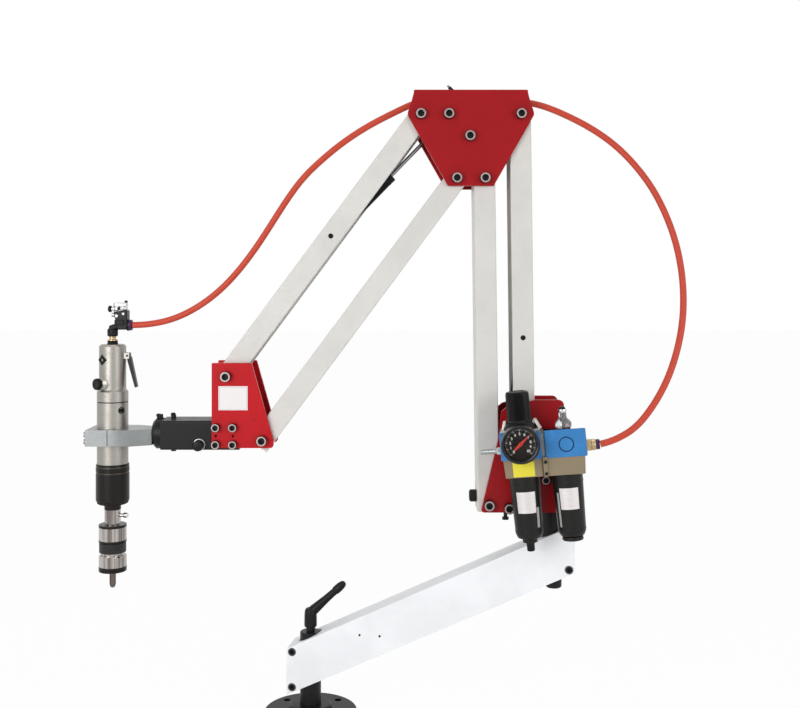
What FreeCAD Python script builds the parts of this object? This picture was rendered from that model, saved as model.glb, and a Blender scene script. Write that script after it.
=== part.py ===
import FreeCAD, Part
import math
import os
import Sketcher

Vector = FreeCAD.Vector
Rotation = FreeCAD.Rotation
Placement = FreeCAD.Placement

X_AXIS = Vector(1, 0, 0)
Y_AXIS = Vector(0, 1, 0)
Z_AXIS = Vector(0, 0, 1)

# Driving sizes in millimetres, with angles in degrees.
# The origin is the middle of the flange's underside, on the bench. X runs along the arms,
# Y away from the side with the gauge, Z up.
SIZES = {
    # Flange, post and clamp
    "flange_radius": 75.0,
    "flange_thickness": 12.0,
    "flange_hole_circle_radius": 60.0,
    "flange_hole_radius": 5.5,
    "hub_radius": 34.0,
    "hub_height": 24.0,
    "hub_chamfer": 2.0,
    "post_radius": 17.0,
    "post_shoulder_drop": 25.3,
    "spindle_radius": 12.5,
    "spindle_overlap": 12.0,
    "clamp_seat_rise": 23.7,
    "clamp_disc_thickness": 19.5,
    "clamp_disc_roof": 5.5,
    "clamp_disc_chamfer": 1.5,
    "clamp_thread_radius": 5.0,
    "clamp_thread_length": 38.0,
    "lever_collar_radius": 7.0,
    "lever_collar_height": 6.0,
    "lever_boss_radius": 6.0,
    "lever_boss_height": 17.0,
    "lever_hub_radius": 10.2,
    "lever_hub_height": 31.0,
    "lever_hub_chamfer": 2.5,
    "lever_length": 70.0,
    "lever_root_radius": 7.4,
    "lever_tip_radius": 4.4,
    "lever_rise_angle": 41.5,
    "lever_lift": 5.0,
    # Base arm
    "base_arm_reach": 390.0,
    "base_arm_yaw_angle": 9.8,
    "base_arm_slope_angle": 25.4,
    "base_arm_height": 74.0,
    "base_arm_width": 54.0,
    "base_arm_wall": 4.0,
    "base_arm_overhang": 33.0,
    "base_arm_middle_height": 97.3,
    "base_arm_mouth_radius": 21.5,
    "end_block_half_length": 31.0,
    "arm_screw_setback": 24.0,
    "arm_screw_edge": 8.8,
    "arm_screw_radius": 4.0,
    "arm_screw_head_radius": 6.4,
    "arm_screw_head_height": 8.0,
    "arm_screw_length": 16.0,
    "cable_hole_radius": 2.0,
    "cable_hole_place": 76.0,
    "cable_hole_spacing": 33.0,
    # Mast
    "mast_collar_radius": 20.0,
    "mast_seat_rise": 23.5,
    "mast_nut_seat_drop": 25.5,
    "mast_nut_radius": 17.0,
    "mast_nut_height": 7.2,
    "mast_bottom_drop": 51.3,
    "mast_chamfer": 2.0,
    "mast_stub_length": 44.0,
    # Plates, bars and pivots
    "link_length": 500.0,
    "link_spacing_x": 55.0,
    "link_spacing_z": 97.9,
    "lower_lean_angle": 0.7,
    "forearm_drop_angle": 53.4,
    "left_pivot_setback": 103.9,
    "left_pivot_rise": 60.1,
    "plate_thickness": 6.0,
    "plate_outer_half": 34.0,
    "bar_width": 33.0,
    "bar_depth": 54.0,
    "bar_wall": 2.5,
    "bar_end_margin": 12.0,
    "bar_corner_radius": 2.0,
    "sleeve_radius": 9.0,
    "side_gap": 0.3,
    "running_gap": 0.05,
    "pivot_bolt_radius": 5.0,
    "pivot_head_radius": 8.0,
    "pivot_head_height": 10.0,
    "pivot_nut_radius": 9.2,
    "pivot_nut_height": 8.0,
    "socket_depth_share": 0.5,
    "socket_radius_share": 0.5,
    # Lower bracket
    "lower_plate_toe": 12.3,
    "lower_plate_foot": 11.7,
    "lower_plate_waist_x": 15.3,
    "lower_plate_waist_z": 104.0,
    "lower_plate_shoulder_x": 18.3,
    "lower_plate_shoulder_z": 142.3,
    "lower_plate_corner_x": 27.0,
    "lower_plate_corner_z": 149.5,
    "lower_plate_crown_x": 71.8,
    "lower_plate_crown_z": 160.6,
    "lower_plate_back_x": 114.6,
    "lower_plate_round": 8.0,
    "mast_block_length": 42.0,
    "mast_block_height": 83.0,
    "block_screw_inset": 13.6,
    "block_screw_rise": 50.4,
    "block_screw_drop": 9.0,
    "stop_screw_place": 27.0,
    "stop_screw_radius": 3.0,
    "stop_screw_length": 34.0,
    "stop_screw_head_radius": 5.2,
    "stop_screw_head_height": 4.0,
    "stop_block_half": 8.0,
    "stop_block_drop": 3.0,
    "buffer_radius": 9.5,
    "buffer_length": 11.0,
    "buffer_place": 8.0,
    # Upper bracket
    "upper_plate_span": 153.0,
    "upper_plate_rise": 34.4,
    "upper_plate_crown": 10.5,
    "upper_plate_shoulder": 14.5,
    "upper_plate_shoulder_rise": 19.5,
    "upper_plate_ear": 21.0,
    "upper_plate_toe": 13.5,
    "upper_plate_foot": 11.8,
    "upper_plate_round": 9.0,
    "spacer_radius": 8.0,
    "spacer_place_x": 74.9,
    "spacer_place_z": 33.6,
    # Tool bracket
    "tool_plate_rise": 17.5,
    "tool_plate_front_margin": 22.0,
    "tool_plate_top_reach": 39.0,
    "tool_plate_toe": 17.5,
    "tool_plate_foot": 11.6,
    "tool_plate_round": 5.0,
    "holder_screw_radius": 4.0,
    "holder_screw_head_radius": 6.6,
    "holder_screw_head_height": 8.0,
    "holder_screw_spacing": 26.0,
    "holder_screw_front": 15.5,
    "holder_screw_length": 20.0,
    "dowel_hole_radius": 2.0,
    "tool_block_height": 45.0,
    "tool_block_front": 102.0,
    "tool_block_back": 19.0,
    "tool_block_drop": 91.0,
    "tool_block_chamfer": 3.0,
    # Gas springs
    "spring_cylinder_radius": 9.0,
    "spring_bore_radius": 7.2,
    "spring_cylinder_length": 133.0,
    "spring_end_wall": 6.0,
    "spring_neck_length": 16.0,
    "spring_eye_radius": 8.5,
    "spring_eye_width": 12.0,
    "spring_rod_radius": 3.0,
    "spring_rod_length": 165.0,
    "spring_pin_radius": 4.0,
    "right_spring_foot_x": 30.5,
    "right_spring_foot_z": 4.5,
    "right_spring_place": 157.5,
    "upper_spring_head_x": 42.8,
    "upper_spring_place": 231.8,
    # Turning head and clamp
    "head_disc_radius": 24.0,
    "head_disc_length": 15.0,
    "head_disc_chamfer": 5.0,
    "head_shaft_radius": 14.0,
    "head_shaft_length": 44.0,
    "head_screw_radius": 4.0,
    "head_screw_rise": 5.5,
    "plunger_place": 59.0,
    "plunger_drop": 15.0,
    "plunger_radius": 4.0,
    "plunger_body_radius": 7.0,
    "plunger_body_length": 11.0,
    "plunger_knob_length": 8.0,
    "plunger_travel": 6.0,
    "clamp_bar_height": 25.0,
    "clamp_bar_drop": 4.0,
    "clamp_bar_depth": 66.0,
    "clamp_neck_depth": 36.0,
    "clamp_half_length": 34.0,
    "clamp_seam": 1.0,
    "clamp_screw_radius": 2.5,
    "clamp_screw_head_radius": 4.2,
    "clamp_screw_head_height": 2.4,
    "clamp_screw_length": 52.0,
    "clamp_screw_spacing": 11.0,
    "clamp_screw_edge": 4.6,
    # Air motor
    "motor_reach": 182.2,
    "casing_radius": 23.9,
    "casing_drop": 47.0,
    "casing_lower_length": 112.5,
    "casing_groove_place": 95.5,
    "casing_groove_width": 1.6,
    "casing_groove_depth": 0.7,
    "casing_step": 3.0,
    "casing_upper_radius": 20.6,
    "casing_upper_length": 70.0,
    "casing_round": 3.0,
    "inlet_collar_radius": 8.4,
    "inlet_collar_height": 5.6,
    "inlet_neck_radius": 5.0,
    "inlet_neck_height": 6.5,
    "elbow_radius": 8.2,
    "elbow_height": 9.9,
    "manifold_length": 29.5,
    "manifold_width": 19.0,
    "manifold_height": 27.0,
    "port_radius": 8.6,
    "port_length": 5.0,
    "flow_knob_radius": 8.0,
    "flow_knob_height": 9.5,
    "flow_cap_height": 2.5,
    "side_stem_radius": 3.2,
    "side_stem_length": 12.0,
    "side_cap_radius": 4.4,
    "gear_case_radius": 25.7,
    "gear_case_length": 63.0,
    "gear_case_round": 4.0,
    "gear_groove_depth": 1.2,
    "gear_groove_width": 3.0,
    "gear_case_bore_radius": 8.2,
    "trigger_height": 168.0,
    "trigger_length": 51.0,
    "trigger_width": 9.0,
    "trigger_thickness": 4.5,
    "trigger_tilt_angle": 14.5,
    "trigger_pin_radius": 1.8,
    "trigger_standoff": 3.6,
    "trigger_lug_thickness": 2.5,
    "trigger_lug_size": 9.0,
    "reverse_knob_radius": 9.0,
    "reverse_knob_length": 7.5,
    "reverse_knob_height": 125.0,
    "reverse_knob_turn_angle": 140.0,
    "reverse_stem_radius": 4.0,
    # Chuck and tap
    "spindle_neck_radius": 8.0,
    "spindle_neck_length": 4.5,
    "adapter_radius": 12.3,
    "adapter_length": 27.5,
    "chuck_pin_radius": 2.6,
    "chuck_pin_ball_radius": 4.2,
    "chuck_pin_reach": 22.0,
    "chuck_ring_radius": 21.2,
    "chuck_top_length": 27.5,
    "chuck_band_length": 20.0,
    "chuck_core_radius": 17.0,
    "chuck_nose_length": 24.5,
    "chuck_sleeve_radius": 20.6,
    "chuck_sleeve_travel": 4.0,
    "chuck_round": 1.5,
    "tap_radius": 4.2,
    "tap_length": 26.5,
    "tap_tip_length": 4.0,
    "tap_shank_depth": 12.0,
    # Air preparation set
    "service_setback": 27.3,
    "service_depth": 77.0,
    "service_rise": 93.9,
    "service_roll_angle": 5.2,
    "service_yaw_angle": 8.0,
    "unit_spacing": 63.0,
    "unit_width": 59.4,
    "unit_depth": 50.0,
    "unit_top": 28.0,
    "unit_bottom": 37.8,
    "unit_round": 3.0,
    "unit_port_radius": 6.6,
    "bonnet_radius": 19.0,
    "bonnet_height": 13.0,
    "bonnet_stem_radius": 6.0,
    "knob_radius": 17.7,
    "knob_height": 45.7,
    "knob_round": 3.0,
    "knob_gap": 0.5,
    "bowl_radius": 23.0,
    "bowl_taper": 2.4,
    "bowl_length": 99.7,
    "bowl_wall": 2.2,
    "bowl_round": 9.0,
    "bowl_boss_radius": 14.0,
    "bowl_boss_height": 5.0,
    "drain_radius": 6.2,
    "drain_stem_radius": 3.0,
    "drain_length": 13.5,
    "gauge_radius": 27.8,
    "gauge_depth": 23.0,
    "gauge_rise": 15.0,
    "gauge_stem_radius": 6.5,
    "gauge_stem_length": 8.0,
    "gauge_rim": 2.6,
    "gauge_recess": 7.0,
    "gauge_pin_radius": 1.0,
    "needle_length": 20.0,
    "needle_tail": 12.0,
    "needle_width": 2.2,
    "needle_thickness": 0.6,
    "needle_hub_radius": 2.6,
    "needle_rest_angle": 42.0,
    "dome_base_radius": 12.0,
    "dome_base_height": 13.0,
    "dome_radius": 7.0,
    "dome_height": 17.0,
    "dome_plug_radius": 4.0,
    "barb_length": 32.0,
    "barb_hex_radius": 8.5,
    "barb_hex_length": 9.0,
    "barb_radius": 4.2,
    "fitting_length": 15.0,
    "fitting_radius": 8.3,
    "fitting_ring_radius": 7.0,
    "fitting_ring_length": 6.8,
    "clip_width": 3.6,
    "clip_depth": 46.0,
    "clip_height": 40.0,
    "strap_width": 44.0,
    "strap_thickness": 4.0,
    "strap_height": 46.0,
    "strap_shift": 11.5,
    "strap_screw_radius": 3.0,
    "strap_screw_head_radius": 5.0,
    "strap_screw_head_height": 5.0,
    "strap_screw_spacing": 28.0,
    "strap_screw_place": 27.0,
    # Hose
    "hose_radius": 5.0,
    # Shared by the cuts
    "overrun": 5.0,
}

# How far each cord's arc may use of its shorter run
ARC_RUN_SHARE = 0.45

# The rear hose's route from the upper bracket to the outlet fitting, measured from the
# arms' plane over the post's axis. Points chosen by hand along the photographed curve.
HOSE_REAR_ROUTE = (
    (345.0, 0.0, 990.0),
    (364.5, -0.3, 986.9),
    (405.3, -2.9, 968.7),
    (443.4, -6.7, 947.1),
    (477.7, -12.2, 920.0),
    (506.7, -19.0, 888.7),
    (531.5, -26.9, 852.5),
    (549.1, -35.1, 814.2),
    (562.2, -43.4, 773.0),
    (569.3, -51.8, 730.8),
    (571.0, -59.8, 688.0),
    (567.2, -67.4, 644.9),
    (556.8, -74.6, 602.4),
    (541.4, -81.1, 562.4),
    (519.8, -86.2, 525.0),
    (492.1, -90.1, 491.3),
    (457.0, -90.9, 471.6),
    (439.7, -88.65, 467.65),
)

# The held stretch between the upper bracket's plates
HOSE_MIDDLE_ROUTE = (
    (150.0, 0.0, 981.6),
    (176.0, 0.0, 993.0),
    (215.0, 0.0, 994.8),
    (262.0, 0.0, 994.0),
    (309.0, 0.0, 995.5),
    (344.7, 0.0, 990.05),
)

# The front hose's route from the upper bracket to the air motor's elbow
HOSE_FRONT_ROUTE = (
    (150.0, 0.0, 981.6),
    (129.6, 0.0, 972.7),
    (90.6, 0.0, 953.0),
    (54.7, 0.0, 929.0),
    (21.6, 0.0, 901.0),
    (-7.5, 0.0, 869.4),
    (-32.6, 0.0, 834.8),
    (-55.6, 0.0, 798.4),
    (-79.0, 0.0, 762.2),
    (-104.8, 0.0, 727.5),
    (-134.0, 0.0, 695.8),
    (-168.1, 0.0, 669.3),
    (-207.1, 0.0, 650.8),
    (-249.1, 0.0, 641.5),
    (-273.1, 0.0, 640.8),
)

doc = FreeCAD.newDocument("arm_tapping_machine")
sheet = doc.addObject("Spreadsheet::Sheet", "sizes")
for row, (name, value) in enumerate(SIZES.items(), start=1):
    sheet.set("A" + str(row), name)
    sheet.set("B" + str(row), str(value))
    sheet.setAlias("B" + str(row), name)
doc.recompute()


class Size:
    """A size and the formula it came from, so that a piece stays bound to the sheet."""

    def __init__(self, number, formula):
        self.number = number
        self.formula = formula

    def __add__(self, other):
        return Size(self.number + plain(other), "(" + self.formula + " + " + formula(other) + ")")

    def __radd__(self, other):
        return Size(plain(other) + self.number, "(" + formula(other) + " + " + self.formula + ")")

    def __sub__(self, other):
        return Size(self.number - plain(other), "(" + self.formula + " - " + formula(other) + ")")

    def __rsub__(self, other):
        return Size(plain(other) - self.number, "(" + formula(other) + " - " + self.formula + ")")

    def __mul__(self, other):
        return Size(self.number * plain(other), "(" + self.formula + " * " + formula(other) + ")")

    def __rmul__(self, other):
        return Size(plain(other) * self.number, "(" + formula(other) + " * " + self.formula + ")")

    def __truediv__(self, other):
        return Size(self.number / plain(other), "(" + self.formula + " / " + formula(other) + ")")

    def __neg__(self):
        return Size(-self.number, "(0 - " + self.formula + ")")


def plain(size):
    """The number behind a size."""
    return size.number if isinstance(size, Size) else float(size)


def formula(size):
    """The text that an expression uses for a size."""
    return size.formula if isinstance(size, Size) else "(" + format(size, ".6g") + ")"


def of_sheet(name):
    return Size(float(sheet.get(name)), "sizes." + name)


class Sheet:
    """Reads a size by its alias."""

    def __getattr__(self, name):
        return of_sheet(name)


d = Sheet()


def cos(angle):
    return Size(math.cos(math.radians(plain(angle))), "cos(" + formula(angle) + " * 1 deg)")


def sin(angle):
    return Size(math.sin(math.radians(plain(angle))), "sin(" + formula(angle) + " * 1 deg)")


def tan(angle):
    return Size(math.tan(math.radians(plain(angle))), "tan(" + formula(angle) + " * 1 deg)")


def bind(thing, **sizes):
    """Give a feature its sizes, each as a formula on the sheet."""
    for name, size in sizes.items():
        if isinstance(size, Size):
            thing.setExpression(name, size.formula)
        else:
            setattr(thing, name, size)
    return thing


def put(thing, x=0, y=0, z=0, turn=None):
    """Place a piece: its turn first, then its base point bound to the sheet."""
    base = Vector(plain(x), plain(y), plain(z))
    thing.Placement = Placement(base, turn if turn else Rotation())
    for name, size in (("x", x), ("y", y), ("z", z)):
        if isinstance(size, Size):
            thing.setExpression("Placement.Base." + name, size.formula)
    return thing


ALONG_X = Rotation(Y_AXIS, 90)
ALONG_Y = Rotation(X_AXIS, -90)
AGAINST_Y = Rotation(X_AXIS, 90)

pieces = {}
names = {}


def own(base):
    """A name for an inner feature that no other feature has."""
    names[base] = names.get(base, 0) + 1
    return base + "_" + str(names[base])


def keep(node, thing):
    """Mark a feature as the finished piece of a node."""
    thing.Label = node
    pieces[node] = thing
    return thing


def cylinder(radius, height, x=0, y=0, z=0, turn=None, angle=None):
    rod = doc.addObject("Part::Cylinder", own("cylinder"))
    bind(rod, Radius=radius, Height=height)
    if angle:
        rod.Angle = angle
    return put(rod, x, y, z, turn)


def block(length, width, height, x=0, y=0, z=0, turn=None):
    bar = doc.addObject("Part::Box", own("block"))
    bind(bar, Length=length, Width=width, Height=height)
    return put(bar, x, y, z, turn)


def cone(start, end, height, x=0, y=0, z=0, turn=None):
    taper = doc.addObject("Part::Cone", own("cone"))
    bind(taper, Radius1=start, Radius2=end, Height=height)
    return put(taper, x, y, z, turn)


def ball(radius, x=0, y=0, z=0):
    globe = doc.addObject("Part::Sphere", own("ball"))
    bind(globe, Radius=radius)
    return put(globe, x, y, z)


def prism(radius, height, x=0, y=0, z=0, turn=None):
    """A hexagonal bar, as a nut or a socket."""
    hexagon = doc.addObject("Part::Prism", own("prism"))
    hexagon.Polygon = 6
    bind(hexagon, Circumradius=radius, Height=height)
    return put(hexagon, x, y, z, turn)


def cut(base, *tools):
    """Take tools out of a base one after another."""
    result = base
    for tool in tools:
        step = doc.addObject("Part::Cut", own("cut"))
        step.Base = result
        step.Tool = tool
        result = step
    return result


def fuse(*shapes):
    union = doc.addObject("Part::MultiFuse", own("fuse"))
    union.Shapes = list(shapes)
    return union


def group(*shapes):
    """Separate solids of one node, such as like screws."""
    together = doc.addObject("Part::Compound", own("group"))
    together.Links = list(shapes)
    return together


def plane_of(body, role):
    for feature in body.Origin.OriginFeatures:
        if feature.Role == role:
            return feature


def fix(sketch, line, vertex, x, y):
    """Hold one sketch point at its bound place from the sketch's origin."""
    for kind, size, axis in (("DistanceX", x, -2), ("DistanceY", y, -1)):
        if abs(plain(size)) < 1e-9:
            sketch.addConstraint(Sketcher.Constraint("PointOnObject", line, vertex, axis))
        else:
            number = sketch.addConstraint(
                Sketcher.Constraint(kind, -1, 1, line, vertex, plain(size))
            )
            sketch.setExpression("Constraints[" + str(number) + "]", formula(size))


def sketch_on(body, role):
    sketch = body.newObject("Sketcher::SketchObject", own("outline"))
    sketch.AttachmentSupport = [(plane_of(body, role), "")]
    sketch.MapMode = "FlatFace"
    return sketch


def outline(body, role, points):
    """A closed outline of straight lines through bound points."""
    sketch = sketch_on(body, role)
    count = len(points)
    for i in range(count):
        start = points[i]
        end = points[(i + 1) % count]
        first = Vector(plain(start[0]), plain(start[1]), 0)
        second = Vector(plain(end[0]), plain(end[1]), 0)
        sketch.addGeometry(Part.LineSegment(first, second))
    for i in range(count):
        sketch.addConstraint(Sketcher.Constraint("Coincident", i, 2, (i + 1) % count, 1))
    for i, (x, y) in enumerate(points):
        fix(sketch, i, 1, x, y)
    return sketch


def circles(body, role, places):
    """Circles of given place and radius."""
    sketch = sketch_on(body, role)
    for x, y, radius in places:
        centre = Vector(plain(x), plain(y), 0)
        ring = sketch.addGeometry(Part.Circle(centre, Z_AXIS, plain(radius)))
        fix(sketch, ring, 3, x, y)
        number = sketch.addConstraint(Sketcher.Constraint("Radius", ring, plain(radius)))
        sketch.setExpression("Constraints[" + str(number) + "]", formula(radius))
    return sketch


def pad(body, sketch, length, symmetric=False, reverse=False):
    step = body.newObject("PartDesign::Pad", own("pad"))
    step.Profile = sketch
    bind(step, Length=length)
    step.SideType = "Symmetric" if symmetric else "One side"
    step.Reversed = reverse
    return step


def pocket(body, sketch, length=None, symmetric=True, reverse=False):
    """A cut: through all when no length is given."""
    step = body.newObject("PartDesign::Pocket", own("pocket"))
    step.Profile = sketch
    if length is None:
        step.Type = "ThroughAll"
    else:
        bind(step, Length=length)
    step.SideType = "Symmetric" if symmetric else "One side"
    step.Reversed = reverse
    return step


def new_body(name):
    return doc.addObject("PartDesign::Body", own(name + "_body"))


def turned(name, profile, x=0, y=0, z=0, turn=None):
    """A turned piece: its half profile of radius and height round its own Z axis."""
    body = new_body(name)
    sketch = outline(body, "XZ_Plane", profile)
    step = body.newObject("PartDesign::Revolution", own("turning"))
    step.Profile = sketch
    step.ReferenceAxis = (sketch, ["V_Axis"])
    step.Angle = 360
    return put(body, x, y, z, turn)


def round_edges(body, radius, test):
    """Round the edges of a body's last feature that a test on their middle and line picks."""
    doc.recompute()
    shape = body.Tip.Shape
    chosen = []
    for number, edge in enumerate(shape.Edges, start=1):
        if isinstance(edge.Curve, Part.Line):
            way = edge.Curve.Direction
            if test(edge.CenterOfMass, way):
                chosen.append("Edge" + str(number))
    if not chosen:
        raise ValueError("no edges to round on " + body.Name)
    before = body.Tip
    step = body.newObject("PartDesign::Fillet", own("rounding"))
    step.Base = (before, chosen)
    bind(step, Radius=radius)
    body.Tip = step
    return step


def along(way, axis):
    return abs(way.dot(axis)) > 0.999


def near(point, x, z):
    """Whether an edge that runs along Y stands at a corner of the outline."""
    return abs(point.x - plain(x)) < 0.5 and abs(point.z - plain(z)) < 0.5


# Places that several pieces share
mast_x = d.base_arm_reach * cos(d.base_arm_yaw_angle)
arm_plane_y = -d.base_arm_reach * sin(d.base_arm_yaw_angle)
arm_slope = tan(d.base_arm_slope_angle)
post_shoulder = d.base_arm_middle_height - d.post_shoulder_drop
clamp_seat = d.base_arm_middle_height + d.clamp_seat_rise
mast_middle = d.base_arm_middle_height + arm_slope * d.base_arm_reach
mast_seat = mast_middle + d.mast_seat_rise
mast_nut_seat = mast_middle - d.mast_nut_seat_drop
mast_bottom = mast_middle - d.mast_bottom_drop
left_foot = (mast_x - d.left_pivot_setback, mast_seat + d.left_pivot_rise)
service_height = left_foot[1] + d.service_rise
right_foot = (left_foot[0] + d.link_spacing_x, left_foot[1] + d.link_spacing_z)
right_head = (
    right_foot[0] - d.link_length * sin(d.lower_lean_angle),
    right_foot[1] + d.link_length * cos(d.lower_lean_angle),
)
left_head = (right_head[0] - d.link_spacing_x, right_head[1] - d.link_spacing_z)
fore_head = (right_head[0] - d.upper_plate_span, right_head[1])
fore_low_head = (fore_head[0] + d.link_spacing_x, fore_head[1] - d.link_spacing_z)
tool_pivot = (
    fore_head[0] - d.link_length * cos(d.forearm_drop_angle),
    fore_head[1] - d.link_length * sin(d.forearm_drop_angle),
)
tool_low_pivot = (tool_pivot[0] + d.link_spacing_x, tool_pivot[1] - d.link_spacing_z)
head_axis_z = tool_pivot[1] - d.tool_block_drop
motor_x = tool_pivot[0] - d.motor_reach
inner_half = d.plate_outer_half - d.plate_thickness
ARM_TURN = Rotation(Z_AXIS, -plain(d.base_arm_yaw_angle))


def arm_top(u):
    """Height of the base arm's upper edge at a distance from the post's axis."""
    return d.base_arm_middle_height + d.base_arm_height / 2 + arm_slope * u


def arm_bottom(u):
    return d.base_arm_middle_height - d.base_arm_height / 2 + arm_slope * u


# Flange with its hub, turned from one casting and drilled for four bench bolts
flange = turned("flange", (
    (d.post_radius + d.running_gap, 0),
    (d.flange_radius, 0),
    (d.flange_radius, d.flange_thickness),
    (d.hub_radius, d.flange_thickness),
    (d.hub_radius, d.hub_height - d.hub_chamfer),
    (d.hub_radius - d.hub_chamfer, d.hub_height),
    (d.post_radius + d.running_gap, d.hub_height),
))
reach = d.flange_hole_circle_radius * cos(45)
holes = []
for side_x in (-1, 1):
    for side_y in (-1, 1):
        holes.append((reach * side_x, reach * side_y, d.flange_hole_radius))
pocket(flange, circles(flange, "XY_Plane", holes))
keep("base_flange", flange)

# Post with its shoulder, spindle and tapped end
spindle_top = clamp_seat + d.spindle_overlap
tap_floor = spindle_top - d.clamp_thread_length
keep("base_post", turned("post", (
    (0, 0),
    (d.post_radius, 0),
    (d.post_radius, post_shoulder),
    (d.spindle_radius, post_shoulder),
    (d.spindle_radius, spindle_top),
    (d.clamp_thread_radius + d.running_gap, spindle_top),
    (d.clamp_thread_radius + d.running_gap, tap_floor),
    (0, tap_floor),
)))

# Clamp disc, a cap over the spindle's end
disc_floor = clamp_seat + d.side_gap
disc_top = disc_floor + d.clamp_disc_thickness
keep("clamp_disc", turned("disc", (
    (d.spindle_radius + d.running_gap, disc_floor),
    (d.post_radius, disc_floor),
    (d.post_radius, disc_top - d.clamp_disc_chamfer),
    (d.post_radius - d.clamp_disc_chamfer, disc_top),
    (d.clamp_thread_radius + d.side_gap, disc_top),
    (d.clamp_thread_radius + d.side_gap, disc_top - d.clamp_disc_roof),
    (d.spindle_radius + d.running_gap, disc_top - d.clamp_disc_roof),
)))

# Lever stud: thread, collar and the boss that carries the handle
collar_floor = disc_top + d.side_gap
collar_top = collar_floor + d.lever_collar_height
keep("clamp_lever_stud", turned("stud", (
    (0, tap_floor + d.clamp_disc_chamfer),
    (d.clamp_thread_radius, tap_floor + d.clamp_disc_chamfer),
    (d.clamp_thread_radius, collar_floor),
    (d.lever_collar_radius, collar_floor),
    (d.lever_collar_radius, collar_top),
    (d.lever_boss_radius, collar_top),
    (d.lever_boss_radius, collar_top + d.lever_boss_height),
    (0, collar_top + d.lever_boss_height),
)))

# Lever handle: hub and rising tapered grip, hollow over the boss
hub_floor = collar_top + d.side_gap
hub_top = hub_floor + d.lever_hub_height
lever_turn = Rotation(Y_AXIS, 90 - plain(d.lever_rise_angle))
lever_root_z = hub_top - d.lever_root_radius
handle_hub = turned("lever_hub", (
    (d.lever_boss_radius + d.running_gap, hub_floor),
    (d.lever_hub_radius - d.lever_hub_chamfer, hub_floor),
    (d.lever_hub_radius, hub_floor + d.lever_hub_chamfer),
    (d.lever_hub_radius - d.lever_hub_chamfer / 2, hub_top - d.lever_hub_chamfer),
    (d.lever_hub_radius - d.lever_hub_chamfer * 2, hub_top),
    (0, hub_top),
    (0, hub_floor + d.lever_boss_height + d.lever_lift),
    (d.lever_boss_radius + d.running_gap, hub_floor + d.lever_boss_height + d.lever_lift),
))
grip = cone(d.lever_root_radius, d.lever_tip_radius, d.lever_length, 0, 0, lever_root_z, lever_turn)
grip_end = ball(
    d.lever_tip_radius,
    d.lever_length * cos(d.lever_rise_angle),
    0,
    lever_root_z + d.lever_length * sin(d.lever_rise_angle),
)
boss_room = cylinder(
    d.lever_boss_radius + d.running_gap,
    d.lever_boss_height + d.lever_lift,
    0, 0, hub_floor,
)
keep("clamp_lever_handle", cut(fuse(handle_hub, grip, grip_end), boss_room))

# Base arm: a welded box whose side is a parallelogram, open at both ends
far_end = d.base_arm_reach + d.base_arm_overhang
near_end = -d.base_arm_overhang
shell = new_body("arm_shell")
pad(shell, outline(shell, "XZ_Plane", (
    (near_end, arm_bottom(near_end)),
    (far_end, arm_bottom(far_end)),
    (far_end, arm_top(far_end)),
    (near_end, arm_top(near_end)),
)), d.base_arm_width, symmetric=True)
past_near = near_end - d.overrun
past_far = far_end + d.overrun
hollow = d.base_arm_width - d.base_arm_wall * 2
pocket(shell, outline(shell, "XZ_Plane", (
    (past_near, arm_bottom(past_near) + d.base_arm_wall),
    (past_far, arm_bottom(past_far) + d.base_arm_wall),
    (past_far, arm_top(past_far) - d.base_arm_wall),
    (past_near, arm_top(past_near) - d.base_arm_wall),
)), hollow)
pocket(shell, circles(shell, "XY_Plane", (
    (0, 0, d.post_radius + d.clamp_disc_chamfer),
    (d.base_arm_reach, 0, d.base_arm_mouth_radius),
)))
screw_places = []
for u in (-d.arm_screw_setback, d.base_arm_reach + d.arm_screw_setback):
    screw_places.append((u, arm_bottom(u) + d.arm_screw_edge))
    screw_places.append((u, arm_top(u) - d.arm_screw_edge))
wall_holes = []
for u, z in screw_places:
    wall_holes.append((u, z, d.arm_screw_head_radius + d.side_gap))
pocket(shell, circles(shell, "XZ_Plane", wall_holes))
cable_holes = []
for place in (d.cable_hole_place, d.cable_hole_place + d.cable_hole_spacing):
    cable_holes.append((place, arm_bottom(place) + d.base_arm_height * 0.5, d.cable_hole_radius))
pocket(shell, circles(shell, "XZ_Plane", cable_holes))
shell.Placement = Placement(Vector(), ARM_TURN)
keep("base_arm_shell", shell)


def end_block(name, middle, bore_radius, upper_seat, lower_seat, upper_radius, lower_radius, screws):
    """A bored block that fills one end of the base arm, sunk above and below for its seats."""
    body = new_body(name)
    low = middle - d.end_block_half_length
    high = middle + d.end_block_half_length
    inset = d.base_arm_wall + d.running_gap
    pad(body, outline(body, "XZ_Plane", (
        (low, arm_bottom(low) + inset),
        (high, arm_bottom(high) + inset),
        (high, arm_top(high) - inset),
        (low, arm_top(low) - inset),
    )), hollow - d.running_gap * 2, symmetric=True)
    pocket(body, circles(body, "XY_Plane", ((middle, 0, bore_radius),)))
    pocket(body, circles(body, "XZ_Plane", [
        (u, z, d.arm_screw_radius) for u, z in screws
    ]))
    depth = d.base_arm_height
    upper = cylinder(upper_radius, depth, middle, 0, upper_seat)
    lower = cylinder(lower_radius, depth, middle, 0, lower_seat - depth)
    sides = []
    for u, z in screws:
        for side in (-1, 1):
            recess = d.arm_screw_head_height - d.base_arm_wall + d.running_gap
            start = (hollow / 2 - recess) * side
            turn = ALONG_Y if side > 0 else AGAINST_Y
            sides.append(cylinder(d.arm_screw_head_radius + d.side_gap, depth, u, start, z, turn))
    result = cut(body, upper, lower, *sides)
    result.Placement = Placement(Vector(), ARM_TURN)
    return keep(name, result)


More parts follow.
